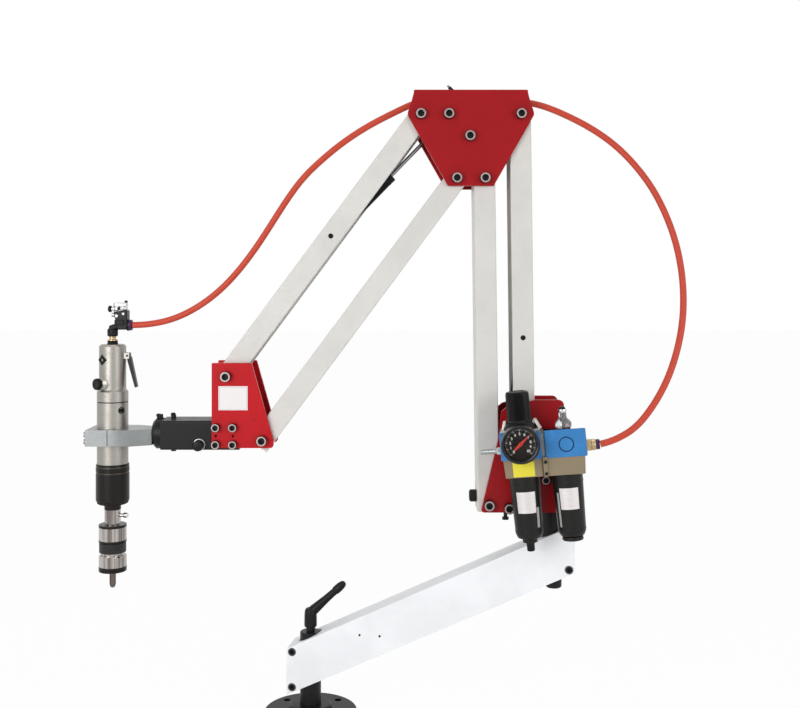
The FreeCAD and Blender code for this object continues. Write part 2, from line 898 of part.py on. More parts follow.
end_block(
    "post_block", Size(0.0, "0"), d.spindle_radius + d.running_gap,
    clamp_seat, post_shoulder + d.side_gap,
    d.post_radius + d.side_gap * 2, d.post_radius + d.side_gap * 2, screw_places[:2],
)
end_block(
    "mast_block", d.base_arm_reach, d.spindle_radius + d.running_gap,
    mast_seat, mast_nut_seat,
    d.base_arm_mouth_radius, d.base_arm_mouth_radius, screw_places[2:],
)


def socket_screw(radius, length, head_radius, head_height, x, y, z, turn):
    """A socket head screw: its head's underside at the place, its head along the turn."""
    shank = cylinder(radius, length, x, y, z, turn.multiply(Rotation(X_AXIS, 180)))
    head = cylinder(head_radius, head_height, x, y, z, turn)
    way = turn.multVec(Z_AXIS)
    rise = head_height * d.socket_depth_share
    socket = prism(
        head_radius * d.socket_radius_share, head_height,
        x + rise * way.x if way.x else x,
        y + rise * way.y if way.y else y,
        z + rise * way.z if way.z else z,
        turn,
    )
    return cut(fuse(shank, head), socket)


# Base arm screws, with their heads sunk flush in the walls
arm_screws = []
for u, z in screw_places:
    for side in (-1, 1):
        turn = ALONG_Y if side > 0 else AGAINST_Y
        start = (d.base_arm_width / 2 - d.arm_screw_head_height) * side
        arm_screws.append(socket_screw(
            d.arm_screw_radius - d.running_gap, d.arm_screw_length, d.arm_screw_head_radius,
            d.arm_screw_head_height, u, start, z, turn,
        ))
screws = group(*arm_screws)
screws.Placement = Placement(Vector(), ARM_TURN)
keep("base_arm_screws", screws)

# Mast spindle: pin through the arm's block, collar above it and a stub in the bracket's block
plate_floor = left_foot[1] - d.lower_plate_foot
keep("mast_spindle", turned("mast", (
    (0, mast_bottom),
    (d.spindle_radius - d.mast_chamfer, mast_bottom),
    (d.spindle_radius, mast_bottom + d.mast_chamfer),
    (d.spindle_radius, mast_seat + d.side_gap),
    (d.mast_collar_radius, mast_seat + d.side_gap),
    (d.mast_collar_radius, plate_floor - d.side_gap),
    (d.spindle_radius, plate_floor - d.side_gap),
    (d.spindle_radius, plate_floor + d.mast_stub_length),
    (0, plate_floor + d.mast_stub_length),
), mast_x, arm_plane_y, 0))
nut_top = mast_nut_seat - d.side_gap
nut_floor = nut_top - d.mast_nut_height
keep("mast_nut", turned("nut", (
    (d.spindle_radius + d.running_gap, nut_floor),
    (d.mast_nut_radius - d.mast_chamfer, nut_floor),
    (d.mast_nut_radius, nut_floor + d.mast_chamfer),
    (d.mast_nut_radius, nut_top),
    (d.spindle_radius + d.running_gap, nut_top),
), mast_x, arm_plane_y, 0))


def plate_pair(name, origin, points, rounds, holes):
    """Two like plates of one outline, in front of and behind the bars."""
    for side, label in ((-1, "front"), (1, "back")):
        body = new_body(name)
        pad(body, outline(body, "XZ_Plane", points), d.plate_thickness)
        for radius, corners in rounds:
            def chosen(point, way, places=corners):
                return along(way, Y_AXIS) and any(near(point, x, z) for x, z in places)
            round_edges(body, radius, chosen)
        pocket(body, circles(body, "XZ_Plane", holes), symmetric=True)
        inner = inner_half if side > 0 else d.plate_outer_half
        back_face = arm_plane_y + (inner + d.plate_thickness if side > 0 else -inner + d.plate_thickness)
        put(body, origin[0], back_face, origin[1])
        keep(name + "_" + label, body)


# Lower bracket plates, round the feet of both bars and the mast's block
bolt_hole = d.pivot_bolt_radius + d.running_gap * 2
foot_z = -d.lower_plate_foot
block_left = d.lower_plate_back_x - d.mast_block_length
block_screws = []
for x in (block_left + d.block_screw_inset, d.lower_plate_back_x - d.block_screw_inset):
    for z in (
        foot_z + d.block_screw_rise,
        foot_z + d.mast_block_height - d.block_screw_drop,
    ):
        block_screws.append((x, z))
lower_outline = (
    (-d.lower_plate_toe, foot_z),
    (d.lower_plate_back_x, foot_z),
    (d.lower_plate_back_x, d.lower_plate_crown_z),
    (d.lower_plate_crown_x, d.lower_plate_crown_z),
    (d.lower_plate_corner_x, d.lower_plate_corner_z),
    (d.lower_plate_shoulder_x, d.lower_plate_shoulder_z),
    (d.lower_plate_waist_x, d.lower_plate_waist_z),
)
lower_holes = [
    (0, 0, bolt_hole),
    (d.link_spacing_x, d.link_spacing_z, bolt_hole),
    (d.right_spring_foot_x, -d.right_spring_foot_z, bolt_hole),
]
for x, z in block_screws:
    lower_holes.append((x, z, d.holder_screw_radius + d.running_gap * 2))
for side in (-1, 1):
    lower_holes.append((
        d.left_pivot_setback - d.service_setback + d.strap_screw_place,
        d.service_rise + d.strap_screw_spacing / 2 * side,
        d.strap_screw_radius,
    ))
plate_pair(
    "lower_plate", left_foot, lower_outline,
    (
        (d.lower_plate_round, ((d.lower_plate_back_x, d.lower_plate_crown_z),)),
        (d.lower_plate_round / 2, (
            (-d.lower_plate_toe, foot_z),
            (d.lower_plate_corner_x, d.lower_plate_corner_z),
            (d.lower_plate_shoulder_x, d.lower_plate_shoulder_z),
        )),
    ),
    lower_holes,
)

# Block between the lower plates, bored for the mast's stub
block_body = new_body("bracket_block")
pad(block_body, outline(block_body, "XZ_Plane", (
    (block_left, foot_z),
    (d.lower_plate_back_x, foot_z),
    (d.lower_plate_back_x, foot_z + d.mast_block_height),
    (block_left, foot_z + d.mast_block_height),
)), inner_half * 2 - d.running_gap * 2, symmetric=True)
pocket(block_body, circles(block_body, "XZ_Plane", [
    (x, z, d.holder_screw_radius) for x, z in block_screws
]))
put(block_body, left_foot[0], arm_plane_y, left_foot[1])
keep("lower_bracket_block", cut(block_body, cylinder(
    d.spindle_radius + d.running_gap, d.mast_stub_length + d.running_gap + d.overrun,
    mast_x, arm_plane_y, plate_floor - d.overrun,
)))


def pivot_bolt(x, z):
    """A long socket screw through both plates, with its nut behind."""
    front = arm_plane_y - d.plate_outer_half
    through = d.plate_outer_half * 2 + d.pivot_nut_height
    screw = socket_screw(
        d.pivot_bolt_radius, through, d.pivot_head_radius, d.pivot_head_height,
        x, front, z, AGAINST_Y,
    )
    back = arm_plane_y + d.plate_outer_half
    nut = cut(
        prism(d.pivot_nut_radius, d.pivot_nut_height, x, back, z, ALONG_Y),
        cylinder(d.pivot_bolt_radius + d.running_gap, d.pivot_nut_height, x, back, z, ALONG_Y),
    )
    return [screw, nut]


def plate_screw(x, z, side):
    """A short socket screw through one plate into the block behind it."""
    turn = ALONG_Y if side > 0 else AGAINST_Y
    return socket_screw(
        d.holder_screw_radius - d.running_gap, d.holder_screw_length, d.holder_screw_head_radius,
        d.holder_screw_head_height, x, arm_plane_y + d.plate_outer_half * side, z, turn,
    )


# Lower bracket bolts, block screws and the stop screw in its cross block
fasteners = []
for x, z in (
    (0, 0),
    (d.link_spacing_x, d.link_spacing_z),
    (d.right_spring_foot_x, -d.right_spring_foot_z),
):
    fasteners.extend(pivot_bolt(left_foot[0] + x, left_foot[1] + z))
for x, z in block_screws:
    for side in (-1, 1):
        fasteners.append(plate_screw(left_foot[0] + x, left_foot[1] + z, side))
stop_x = left_foot[0] + d.right_spring_foot_x
stop_floor = plate_floor - d.stop_block_drop
stop_eye_z = left_foot[1] - d.right_spring_foot_z
stop_clamp = cut(
    block(
        d.stop_block_half * 2, d.stop_block_half * 2, stop_eye_z - stop_floor,
        stop_x - d.stop_block_half, arm_plane_y + d.spring_eye_width / 2 + d.side_gap * 3, stop_floor,
    ),
    cylinder(
        d.pivot_bolt_radius + d.running_gap, d.plate_outer_half * 2,
        stop_x, arm_plane_y - d.plate_outer_half, stop_eye_z, ALONG_Y,
    ),
)
stop_y = arm_plane_y + d.spring_eye_width / 2 + d.side_gap * 3 + d.stop_block_half
stop_screw = fuse(
    stop_clamp,
    cylinder(
        d.stop_screw_radius, d.stop_screw_length - d.stop_block_half,
        stop_x, stop_y, stop_floor - d.stop_screw_length + d.stop_block_half * 2,
    ),
    cylinder(
        d.stop_screw_head_radius, d.stop_screw_head_height,
        stop_x, stop_y, stop_floor - d.stop_screw_length + d.stop_block_half * 2,
    ),
)
fasteners.append(stop_screw)
keep("lower_bracket_bolts", group(*fasteners))


def arm_bar(name, foot, lean, sleeves, open_side=0, pins=()):
    """A bar of the arms along its own Z from its foot pivot: a box, or a channel open at a side."""
    body = new_body(name)
    half = d.bar_width / 2
    deep = d.bar_depth / 2
    length = d.link_length + d.bar_end_margin * 2
    floor = new_floor = -d.bar_end_margin
    rod = outline(body, "XY_Plane", ((-half, -deep), (half, -deep), (half, deep), (-half, deep)))
    rod.AttachmentOffset = Placement(Vector(0, 0, plain(new_floor)), Rotation())
    rod.setExpression("AttachmentOffset.Base.z", formula(floor))
    pad(body, rod, length)
    round_edges(body, d.bar_corner_radius, lambda point, way: along(way, Z_AXIS))
    left = -half + d.bar_wall
    right = half - d.bar_wall
    if open_side < 0:
        left = -half - d.overrun
    if open_side > 0:
        right = half + d.overrun
    inside = outline(body, "XY_Plane", (
        (left, -deep + d.bar_wall),
        (right, -deep + d.bar_wall),
        (right, deep - d.bar_wall),
        (left, deep - d.bar_wall),
    ))
    pocket(body, inside)
    spots = [(0, z, d.sleeve_radius) for z in sleeves]
    pad(body, circles(body, "XZ_Plane", spots), inner_half * 2 - d.side_gap * 2, symmetric=True)
    bores = [(0, z, d.pivot_bolt_radius + d.running_gap) for z in sleeves]
    for z in pins:
        bores.append((0, z, d.spring_pin_radius + d.running_gap))
    pocket(body, circles(body, "XZ_Plane", bores))
    put(body, foot[0], arm_plane_y, foot[1], Rotation(Y_AXIS, lean))
    return keep(name, body)


# Lower arm: the right channel opens towards the left box bar
lower_lean = -plain(d.lower_lean_angle)
arm_bar(
    "right_bar", right_foot, lower_lean, (0, d.link_length), -1, (d.right_spring_place,),
)
arm_bar("left_bar", left_foot, lower_lean, (0, d.link_length))

# Forearm: the upper channel opens downwards, towards the lower box bar
fore_lean = plain(d.forearm_drop_angle) - 90 + 180
fore_turn_lean = 180 + (90 - plain(d.forearm_drop_angle))
arm_bar(
    "upper_bar", fore_head, fore_turn_lean, (0, d.link_length), -1, (d.upper_spring_place,),
)
arm_bar("lower_bar", fore_low_head, fore_turn_lean, (0, d.link_length))

# Rubber buffer on the left bar's outer face
keep("bar_buffer", turned("buffer", (
    (0, 0),
    (d.buffer_radius, 0),
    (d.buffer_radius, d.buffer_length - d.bar_corner_radius),
    (d.buffer_radius - d.bar_corner_radius, d.buffer_length),
    (0, d.buffer_length),
), left_foot[0] - d.bar_width / 2 - d.side_gap, arm_plane_y, left_foot[1] + d.buffer_place,
    Rotation(Y_AXIS, lower_lean - 90)))


def gas_spring(name, eye, rod_eye):
    """Cylinder with its cross pin at one eye and rod with its eye at the other, in one line."""
    run_x = plain(rod_eye[0]) - plain(eye[0])
    run_z = plain(rod_eye[1]) - plain(eye[1])
    turn = Rotation(Y_AXIS, math.degrees(math.atan2(run_x, run_z)))
    mouth = d.spring_cylinder_length
    neck = d.spring_neck_length
    tube = turned(name + "_tube", (
        (0, neck),
        (d.spring_cylinder_radius, neck),
        (d.spring_cylinder_radius, mouth),
        (d.spring_bore_radius, mouth),
        (d.spring_bore_radius, neck + d.spring_end_wall),
        (0, neck + d.spring_end_wall),
    ))
    half = d.spring_eye_width / 2
    lug = cylinder(d.spring_eye_radius, d.spring_eye_width, 0, -half, 0, ALONG_Y)
    stem = cylinder(d.spring_pin_radius + d.spring_rod_radius / 3, neck + d.spring_end_wall / 2)
    pin = cylinder(d.spring_pin_radius, d.bar_depth, 0, -d.bar_depth / 2, 0, ALONG_Y)
    barrel = fuse(tube, lug, stem, pin)
    put(barrel, eye[0], arm_plane_y, eye[1], turn)
    keep(name + "_cylinder", barrel)
    shaft = cylinder(d.spring_rod_radius, d.spring_rod_length)
    ring = cylinder(d.spring_eye_radius, d.spring_eye_width, 0, -half, 0, ALONG_Y)
    bore = cylinder(
        d.pivot_bolt_radius + d.running_gap, d.spring_eye_width * 2, 0, -half * 2, 0, ALONG_Y,
    )
    rod = cut(fuse(shaft, ring), bore)
    put(rod, rod_eye[0], arm_plane_y, rod_eye[1], turn.multiply(Rotation(Y_AXIS, 180)))
    keep(name + "_rod", rod)


gas_spring(
    "right_spring",
    (
        right_foot[0] - d.right_spring_place * sin(d.lower_lean_angle),
        right_foot[1] + d.right_spring_place * cos(d.lower_lean_angle),
    ),
    (left_foot[0] + d.right_spring_foot_x, left_foot[1] - d.right_spring_foot_z),
)
gas_spring(
    "upper_spring",
    (
        fore_head[0] - d.upper_spring_place * cos(d.forearm_drop_angle),
        fore_head[1] - d.upper_spring_place * sin(d.forearm_drop_angle),
    ),
    (fore_head[0] + d.upper_spring_head_x, fore_head[1]),
)

# Upper bracket plates, a trapezium on its head
span = d.upper_plate_span
upper_outline = (
    (-d.upper_plate_crown, d.upper_plate_rise),
    (-d.upper_plate_shoulder, d.upper_plate_shoulder_rise),
    (-d.upper_plate_ear, 0),
    (d.link_spacing_x - d.upper_plate_toe, -d.link_spacing_z - d.upper_plate_foot),
    (span - d.link_spacing_x + d.upper_plate_toe, -d.link_spacing_z - d.upper_plate_foot),
    (span + d.upper_plate_ear, 0),
    (span + d.upper_plate_shoulder, d.upper_plate_shoulder_rise),
    (span + d.upper_plate_crown, d.upper_plate_rise),
)
upper_bolts = (
    (0, 0),
    (d.link_spacing_x, -d.link_spacing_z),
    (span, 0),
    (span - d.link_spacing_x, -d.link_spacing_z),
    (d.upper_spring_head_x, 0),
    (d.spacer_place_x, -d.spacer_place_z),
)
plate_pair(
    "upper_plate", fore_head, upper_outline,
    (
        (d.upper_plate_round, ((-d.upper_plate_ear, 0), (span + d.upper_plate_ear, 0))),
        (d.upper_plate_round / 4, (
            (-d.upper_plate_crown, d.upper_plate_rise),
            (span + d.upper_plate_crown, d.upper_plate_rise),
            (d.link_spacing_x - d.upper_plate_toe, -d.link_spacing_z - d.upper_plate_foot),
            (span - d.link_spacing_x + d.upper_plate_toe, -d.link_spacing_z - d.upper_plate_foot),
        )),
    ),
    [(x, z, bolt_hole) for x, z in upper_bolts],
)
fasteners = []
for x, z in upper_bolts:
    fasteners.extend(pivot_bolt(fore_head[0] + x, fore_head[1] + z))
keep("upper_bracket_bolts", group(*fasteners))
spacer_floor = arm_plane_y - inner_half + d.running_gap
spacer_length = inner_half * 2 - d.running_gap * 2
spacer_x = fore_head[0] + d.spacer_place_x
spacer_z = fore_head[1] - d.spacer_place_z
keep("upper_spacer", cut(
    cylinder(d.spacer_radius, spacer_length, spacer_x, spacer_floor, spacer_z, ALONG_Y),
    cylinder(bolt_hole, spacer_length, spacer_x, spacer_floor, spacer_z, ALONG_Y),
))

# Tool bracket plates
block_mid_z = -d.tool_block_drop
holder_places = []
for x in (-d.holder_screw_front, d.holder_screw_spacing - d.holder_screw_front):
    for z in (-d.holder_screw_spacing / 2, d.holder_screw_spacing / 2):
        holder_places.append((x, block_mid_z + z))
tool_outline = (
    (-d.tool_plate_front_margin, d.tool_plate_rise),
    (-d.tool_plate_front_margin, -d.link_spacing_z - d.tool_plate_foot),
    (d.link_spacing_x + d.tool_plate_toe, -d.link_spacing_z - d.tool_plate_foot),
    (d.link_spacing_x + d.tool_plate_toe, -d.link_spacing_z),
    (d.tool_plate_top_reach, d.tool_plate_rise),
)
tool_holes = [(0, 0, bolt_hole), (d.link_spacing_x, -d.link_spacing_z, bolt_hole)]
for x, z in holder_places:
    tool_holes.append((x, z, d.holder_screw_radius + d.running_gap * 2))
for x in (-d.holder_screw_front, d.holder_screw_spacing - d.holder_screw_front):
    tool_holes.append((x, block_mid_z, d.dowel_hole_radius))
plate_pair(
    "tool_plate", tool_pivot, tool_outline,
    (
        (d.tool_plate_round, (
            (d.link_spacing_x + d.tool_plate_toe, -d.link_spacing_z - d.tool_plate_foot),
        )),
        (d.tool_plate_round / 3, (
            (-d.tool_plate_front_margin, d.tool_plate_rise),
            (d.tool_plate_top_reach, d.tool_plate_rise),
            (-d.tool_plate_front_margin, -d.link_spacing_z - d.tool_plate_foot),
        )),
    ),
    tool_holes,
)
fasteners = []
for x, z in ((0, 0), (d.link_spacing_x, -d.link_spacing_z)):
    fasteners.extend(pivot_bolt(tool_pivot[0] + x, tool_pivot[1] + z))
for x, z in holder_places:
    for side in (-1, 1):
        fasteners.append(plate_screw(tool_pivot[0] + x, tool_pivot[1] + z, side))
keep("tool_bracket_bolts", group(*fasteners))

# Tool block: the black block between the tool plates, bored along X for the head's shaft
block_width = inner_half * 2 - d.running_gap * 2
block_start = tool_pivot[0] - d.tool_block_front
block_length = d.tool_block_front + d.tool_block_back
holder = new_body("holder")
pad(holder, outline(holder, "XZ_Plane", (
    (-d.tool_block_front, block_mid_z - d.tool_block_height / 2),
    (d.tool_block_back, block_mid_z - d.tool_block_height / 2),
    (d.tool_block_back, block_mid_z + d.tool_block_height / 2),
    (-d.tool_block_front, block_mid_z + d.tool_block_height / 2),
)), block_width, symmetric=True)
round_edges(holder, d.tool_block_chamfer, lambda point, way: along(way, X_AXIS))
pocket(holder, circles(holder, "XZ_Plane", [
    (x, z, d.holder_screw_radius) for x, z in holder_places
]))
put(holder, tool_pivot[0], arm_plane_y, tool_pivot[1])
shaft_room = cylinder(
    d.head_shaft_radius + d.running_gap, d.head_shaft_length + d.side_gap * 2 + d.overrun,
    block_start - d.overrun, arm_plane_y, head_axis_z, ALONG_X,
)
plunger_x = block_start + d.plunger_place
plunger_z = head_axis_z - d.plunger_drop
front_face_y = arm_plane_y - block_width / 2
plunger_room = cylinder(
    d.plunger_radius + d.running_gap, d.plunger_body_length + d.overrun,
    plunger_x, front_face_y + d.plunger_body_length, plunger_z, AGAINST_Y,
)
screw_top = []
for x in (d.holder_screw_head_radius * 2, d.holder_screw_head_radius * 2):
    screw_top.append(x)
top_screw = cylinder(
    d.head_screw_radius, d.head_screw_rise * 2,
    block_start + d.head_disc_length, arm_plane_y,
    head_axis_z + d.tool_block_height / 2 - d.head_screw_rise,
)
foot_screw = cylinder(
    d.head_screw_radius, d.head_screw_rise * 2,
    block_start + d.head_disc_length, arm_plane_y,
    head_axis_z - d.tool_block_height / 2 - d.head_screw_rise,
)
keep("tool_block", cut(fuse(cut(holder, shaft_room), top_screw, foot_screw), plunger_room))

# Turning head: a chamfered disc with its shaft, and the screw on its rim
disc_start = block_start - d.side_gap - d.head_disc_length
head_turned = turned("head", (
    (0, 0),
    (d.head_disc_radius - d.head_disc_chamfer, 0),
    (d.head_disc_radius, d.head_disc_chamfer),
    (d.head_disc_radius, d.head_disc_length),
    (d.head_shaft_radius, d.head_disc_length),
    (d.head_shaft_radius, d.head_disc_length + d.side_gap + d.head_shaft_length),
    (0, d.head_disc_length + d.side_gap + d.head_shaft_length),
), disc_start, arm_plane_y, head_axis_z, ALONG_X)
rim_screw = cylinder(
    d.head_screw_radius, d.head_screw_rise * 2,
    disc_start + d.head_disc_length * 0.66, arm_plane_y,
    head_axis_z + d.head_disc_radius - d.head_screw_rise,
)
keep("swivel_head", fuse(head_turned, rim_screw))

# Spring plunger with its pull knob on the block's front face
plunger_tip = d.plunger_body_length - d.running_gap
plunger_front = d.plunger_travel / 6
keep("lock_plunger", turned("plunger", (
    (0, -plunger_tip),
    (d.plunger_radius, -plunger_tip),
    (d.plunger_radius, plunger_front),
    (d.plunger_body_radius, plunger_front),
    (d.plunger_body_radius, plunger_front + d.plunger_knob_length),
    (0, plunger_front + d.plunger_knob_length),
), plunger_x, front_face_y, plunger_z, AGAINST_Y))

# Clamp bar and cap: two halves round the motor, split at its axis
bar_mid_z = head_axis_z - d.clamp_bar_drop
bar_floor = bar_mid_z - d.clamp_bar_height / 2
motor_bore = d.casing_radius + d.running_gap
half_depth = d.clamp_bar_depth / 2
neck_half = d.clamp_neck_depth / 2
seam = d.clamp_seam / 2
jaw = new_body("jaw")
neck_reach = disc_start - motor_x
pad(jaw, outline(jaw, "XY_Plane", (
    (seam, -half_depth),
    (d.clamp_half_length, -half_depth),
    (neck_reach, -neck_half),
    (neck_reach, neck_half),
    (d.clamp_half_length, half_depth),
    (seam, half_depth),
)), d.clamp_bar_height)
pocket(jaw, circles(jaw, "XY_Plane", ((0, 0, motor_bore),)))
put(jaw, motor_x, arm_plane_y, bar_floor)
screw_y = half_depth - d.clamp_screw_edge
jaw_holes = []
cap_holes = []
cap_screws = []
for side in (-1, 1):
    for rise in (-d.clamp_screw_spacing / 2, d.clamp_screw_spacing / 2):
        hole_start = motor_x - d.clamp_half_length
        screw_height = bar_mid_z + rise
        lane_y = arm_plane_y + screw_y * side
        jaw_holes.append(cylinder(
            d.clamp_screw_radius + d.running_gap, d.clamp_screw_length,
            hole_start, lane_y, screw_height, ALONG_X,
        ))
        cap_holes.append(cylinder(
            d.clamp_screw_radius + d.running_gap, d.clamp_half_length,
            hole_start, lane_y, screw_height, ALONG_X,
        ))
        cap_screws.append(socket_screw(
            d.clamp_screw_radius, d.clamp_screw_length - d.clamp_screw_radius,
            d.clamp_screw_head_radius, d.clamp_screw_head_height,
            hole_start, lane_y, screw_height, Rotation(Y_AXIS, -90),
        ))
keep("clamp_bar", cut(jaw, *jaw_holes))
cap = new_body("cap")
pad(cap, outline(cap, "XY_Plane", (
    (-d.clamp_half_length, -half_depth),
    (-seam, -half_depth),
    (-seam, half_depth),
    (-d.clamp_half_length, half_depth),
)), d.clamp_bar_height)
pocket(cap, circles(cap, "XY_Plane", ((0, 0, motor_bore),)))
put(cap, motor_x, arm_plane_y, bar_floor)
keep("clamp_cap", group(cut(cap, *cap_holes), *cap_screws))

# Air motor casing, turned in two diameters with a groove, and lugs for its lever
casing_floor = head_axis_z - d.casing_drop
casing_step_z = d.casing_lower_length
casing_top = casing_step_z + d.casing_step + d.casing_upper_length
groove_low = d.casing_groove_place
groove_high = d.casing_groove_place + d.casing_groove_width
casing = turned("casing", (
    (0, 0),
    (d.casing_radius, 0),
    (d.casing_radius, groove_low),
    (d.casing_radius - d.casing_groove_depth, groove_low),
    (d.casing_radius - d.casing_groove_depth, groove_high),
    (d.casing_radius, groove_high),
    (d.casing_radius, casing_step_z),
    (d.casing_upper_radius, casing_step_z + d.casing_step),
    (d.casing_upper_radius, casing_top - d.casing_round),
    (d.casing_upper_radius - d.casing_round, casing_top),
    (0, casing_top),
))
trigger_x = d.casing_upper_radius + d.trigger_standoff
lugs = []
for side in (-1, 1):
    inner = d.trigger_width / 2 + d.side_gap
    lug_y = inner if side > 0 else -inner - d.trigger_lug_thickness
    lugs.append(block(
        trigger_x + d.trigger_lug_size / 3 - d.casing_upper_radius + d.overrun,
        d.trigger_lug_thickness, d.trigger_lug_size,
        d.casing_upper_radius - d.overrun, lug_y, d.trigger_height - d.trigger_lug_size / 2,
    ))
pin_room = cylinder(
    d.trigger_pin_radius + d.running_gap, d.trigger_width * 3,
    trigger_x, -d.trigger_width * 1.5, d.trigger_height, ALONG_Y,
)
reverse_turn = Rotation(Z_AXIS, plain(d.reverse_knob_turn_angle) + 90).multiply(ALONG_X)
knob_way = (-cos(d.reverse_knob_turn_angle - 90), -sin(d.reverse_knob_turn_angle - 90))
stem_room = cylinder(
    d.reverse_stem_radius + d.running_gap, d.casing_radius,
    0, 0, d.reverse_knob_height, Rotation(Z_AXIS, plain(d.reverse_knob_turn_angle) + 90).multiply(ALONG_X),
)
motor = cut(fuse(casing, *lugs), pin_room, stem_room)
keep("motor_casing", put(motor, motor_x, arm_plane_y, casing_floor))

# Reversing knob with its stem in the casing
knob_seat = d.casing_radius + d.side_gap
reverse_knob = fuse(
    cylinder(
        d.reverse_knob_radius, d.reverse_knob_length,
        0, 0, knob_seat, None,
    ),
    cylinder(
        d.reverse_stem_radius, d.casing_radius / 2 + d.overrun,
        0, 0, knob_seat - d.casing_radius / 2,
    ),
)
put(reverse_knob, motor_x, arm_plane_y, casing_floor + d.reverse_knob_height, reverse_turn)
keep("reversing_knob", reverse_knob)

# Trigger lever: a bent blade on a cross pin
blade = new_body("blade")
pad(blade, outline(blade, "XZ_Plane", (
    (-d.trigger_thickness / 2, d.trigger_thickness / 2),
    (d.trigger_thickness / 2, d.trigger_thickness / 2),
    (d.trigger_thickness, -d.trigger_thickness),
    (d.trigger_thickness / 2, -d.trigger_length),
    (-d.trigger_thickness / 3, -d.trigger_length),
    (-d.trigger_thickness / 2, -d.trigger_thickness * 2),
)), d.trigger_width, symmetric=True)
blade_pin = cylinder(
    d.trigger_pin_radius, d.trigger_width + d.trigger_lug_thickness * 2,
    0, -d.trigger_width / 2 - d.trigger_lug_thickness, 0, ALONG_Y,
)
trigger = fuse(blade, blade_pin)
put(
    trigger, motor_x + trigger_x, arm_plane_y, casing_floor + d.trigger_height,
    Rotation(Y_AXIS, -plain(d.trigger_tilt_angle)),
)
keep("trigger_lever", trigger)

# Gear case below the casing, ringed near its top
case_top = casing_floor - d.running_gap
keep("gear_case", turned("gears", (
    (d.gear_case_bore_radius, -d.gear_case_length),
    (d.gear_case_radius - d.gear_case_round * 2, -d.gear_case_length),
    (d.gear_case_radius, -d.gear_case_length + d.gear_case_round * 1.5),
    (d.gear_case_radius, -d.gear_groove_width * 5),
    (d.gear_case_radius - d.gear_groove_depth, -d.gear_groove_width * 5),
    (d.gear_case_radius - d.gear_groove_depth, -d.gear_groove_width * 4),
    (d.gear_case_radius, -d.gear_groove_width * 4),
    (d.gear_case_radius, -d.gear_groove_width * 2),
    (d.gear_case_radius - d.gear_groove_depth, -d.gear_groove_width * 2),
    (d.gear_case_radius - d.gear_groove_depth, -d.gear_groove_width),
    (d.gear_case_radius, -d.gear_groove_width),
    (d.gear_case_radius - d.gear_groove_depth, 0),
    (d.gear_case_bore_radius, 0),
), motor_x, arm_plane_y, case_top))

# Air inlet: collar and brass neck on top of the casing
inlet_floor = casing_floor + casing_top + d.running_gap
keep("air_inlet", turned("inlet", (
    (0, 0),
    (d.inlet_collar_radius, 0),
    (d.inlet_collar_radius, d.inlet_collar_height),
    (d.inlet_neck_radius, d.inlet_collar_height),
    (d.inlet_neck_radius, d.inlet_collar_height + d.inlet_neck_height),
    (0, d.inlet_collar_height + d.inlet_neck_height),
), motor_x, arm_plane_y, inlet_floor))

# Elbow and its manifold, with the hose port facing the arms and a flow knob on top
elbow_floor = inlet_floor + d.inlet_collar_height + d.inlet_neck_height + d.running_gap
manifold_floor = elbow_floor + d.elbow_height
elbow_boss = cylinder(d.elbow_radius, d.elbow_height, motor_x, arm_plane_y, elbow_floor)
manifold = block(
    d.manifold_length, d.manifold_width, d.manifold_height,
    motor_x - d.elbow_radius / 2, arm_plane_y - d.manifold_width / 2, manifold_floor,
)
port_start = motor_x - d.elbow_radius / 2 + d.manifold_length
port = cylinder(
    d.port_radius, d.port_length,
    port_start, arm_plane_y, manifold_floor + d.port_radius, ALONG_X,
)
flow_x = port_start - d.flow_knob_radius
flow_knob = cylinder(
    d.flow_knob_radius, d.flow_knob_height,
    flow_x, arm_plane_y, manifold_floor + d.manifold_height,
)
flow_cap = cylinder(
    d.flow_knob_radius / 2, d.flow_cap_height,
    flow_x, arm_plane_y, manifold_floor + d.manifold_height + d.flow_knob_height,
)
side_stem = cylinder(
    d.side_stem_radius, d.side_stem_length,
    flow_x - d.flow_knob_radius - d.side_stem_length + d.flow_cap_height, arm_plane_y,
    manifold_floor + d.manifold_height + d.side_stem_radius * 1.2, ALONG_X,
)
side_cap = ball(
    d.side_cap_radius, flow_x - d.flow_knob_radius - d.side_stem_length + d.flow_cap_height,
    arm_plane_y, manifold_floor + d.manifold_height + d.side_stem_radius * 1.2,
)
keep("air_elbow", fuse(elbow_boss, manifold, port, flow_knob, flow_cap, side_stem, side_cap))

# Chuck body: neck, adapter, rings and nose on the motor's spindle
chuck_top = -d.gear_case_length - d.spindle_neck_length
adapter_floor = chuck_top - d.adapter_length
ring_floor = adapter_floor - d.chuck_top_length
nose_top = ring_floor - d.chuck_band_length
nose_floor = nose_top - d.chuck_nose_length
r = d.chuck_round
chuck_turned = turned("chuck", (
    (d.tap_radius + d.running_gap, nose_floor + d.tap_shank_depth),
    (d.tap_radius + d.running_gap, nose_floor),
    (d.chuck_ring_radius - r, nose_floor),
    (d.chuck_ring_radius, nose_floor + r),
    (d.chuck_ring_radius, nose_top - r),
    (d.chuck_ring_radius - r, nose_top),
    (d.chuck_core_radius, nose_top),
    (d.chuck_core_radius, ring_floor),
    (d.chuck_ring_radius - r, ring_floor),
    (d.chuck_ring_radius, ring_floor + r),
    (d.chuck_ring_radius, adapter_floor - r),
    (d.chuck_ring_radius - r, adapter_floor),
    (d.adapter_radius, adapter_floor),
    (d.adapter_radius, chuck_top),
    (d.spindle_neck_radius, chuck_top),
    (d.spindle_neck_radius, -d.gear_case_length + d.overrun * 2),
    (0, -d.gear_case_length + d.overrun * 2),
    (0, nose_floor + d.tap_shank_depth),
), motor_x, arm_plane_y, case_top)
pin_z = case_top + adapter_floor + d.adapter_length / 2
chuck_pin = cylinder(d.chuck_pin_radius, d.chuck_pin_reach, motor_x, arm_plane_y, pin_z, ALONG_X)
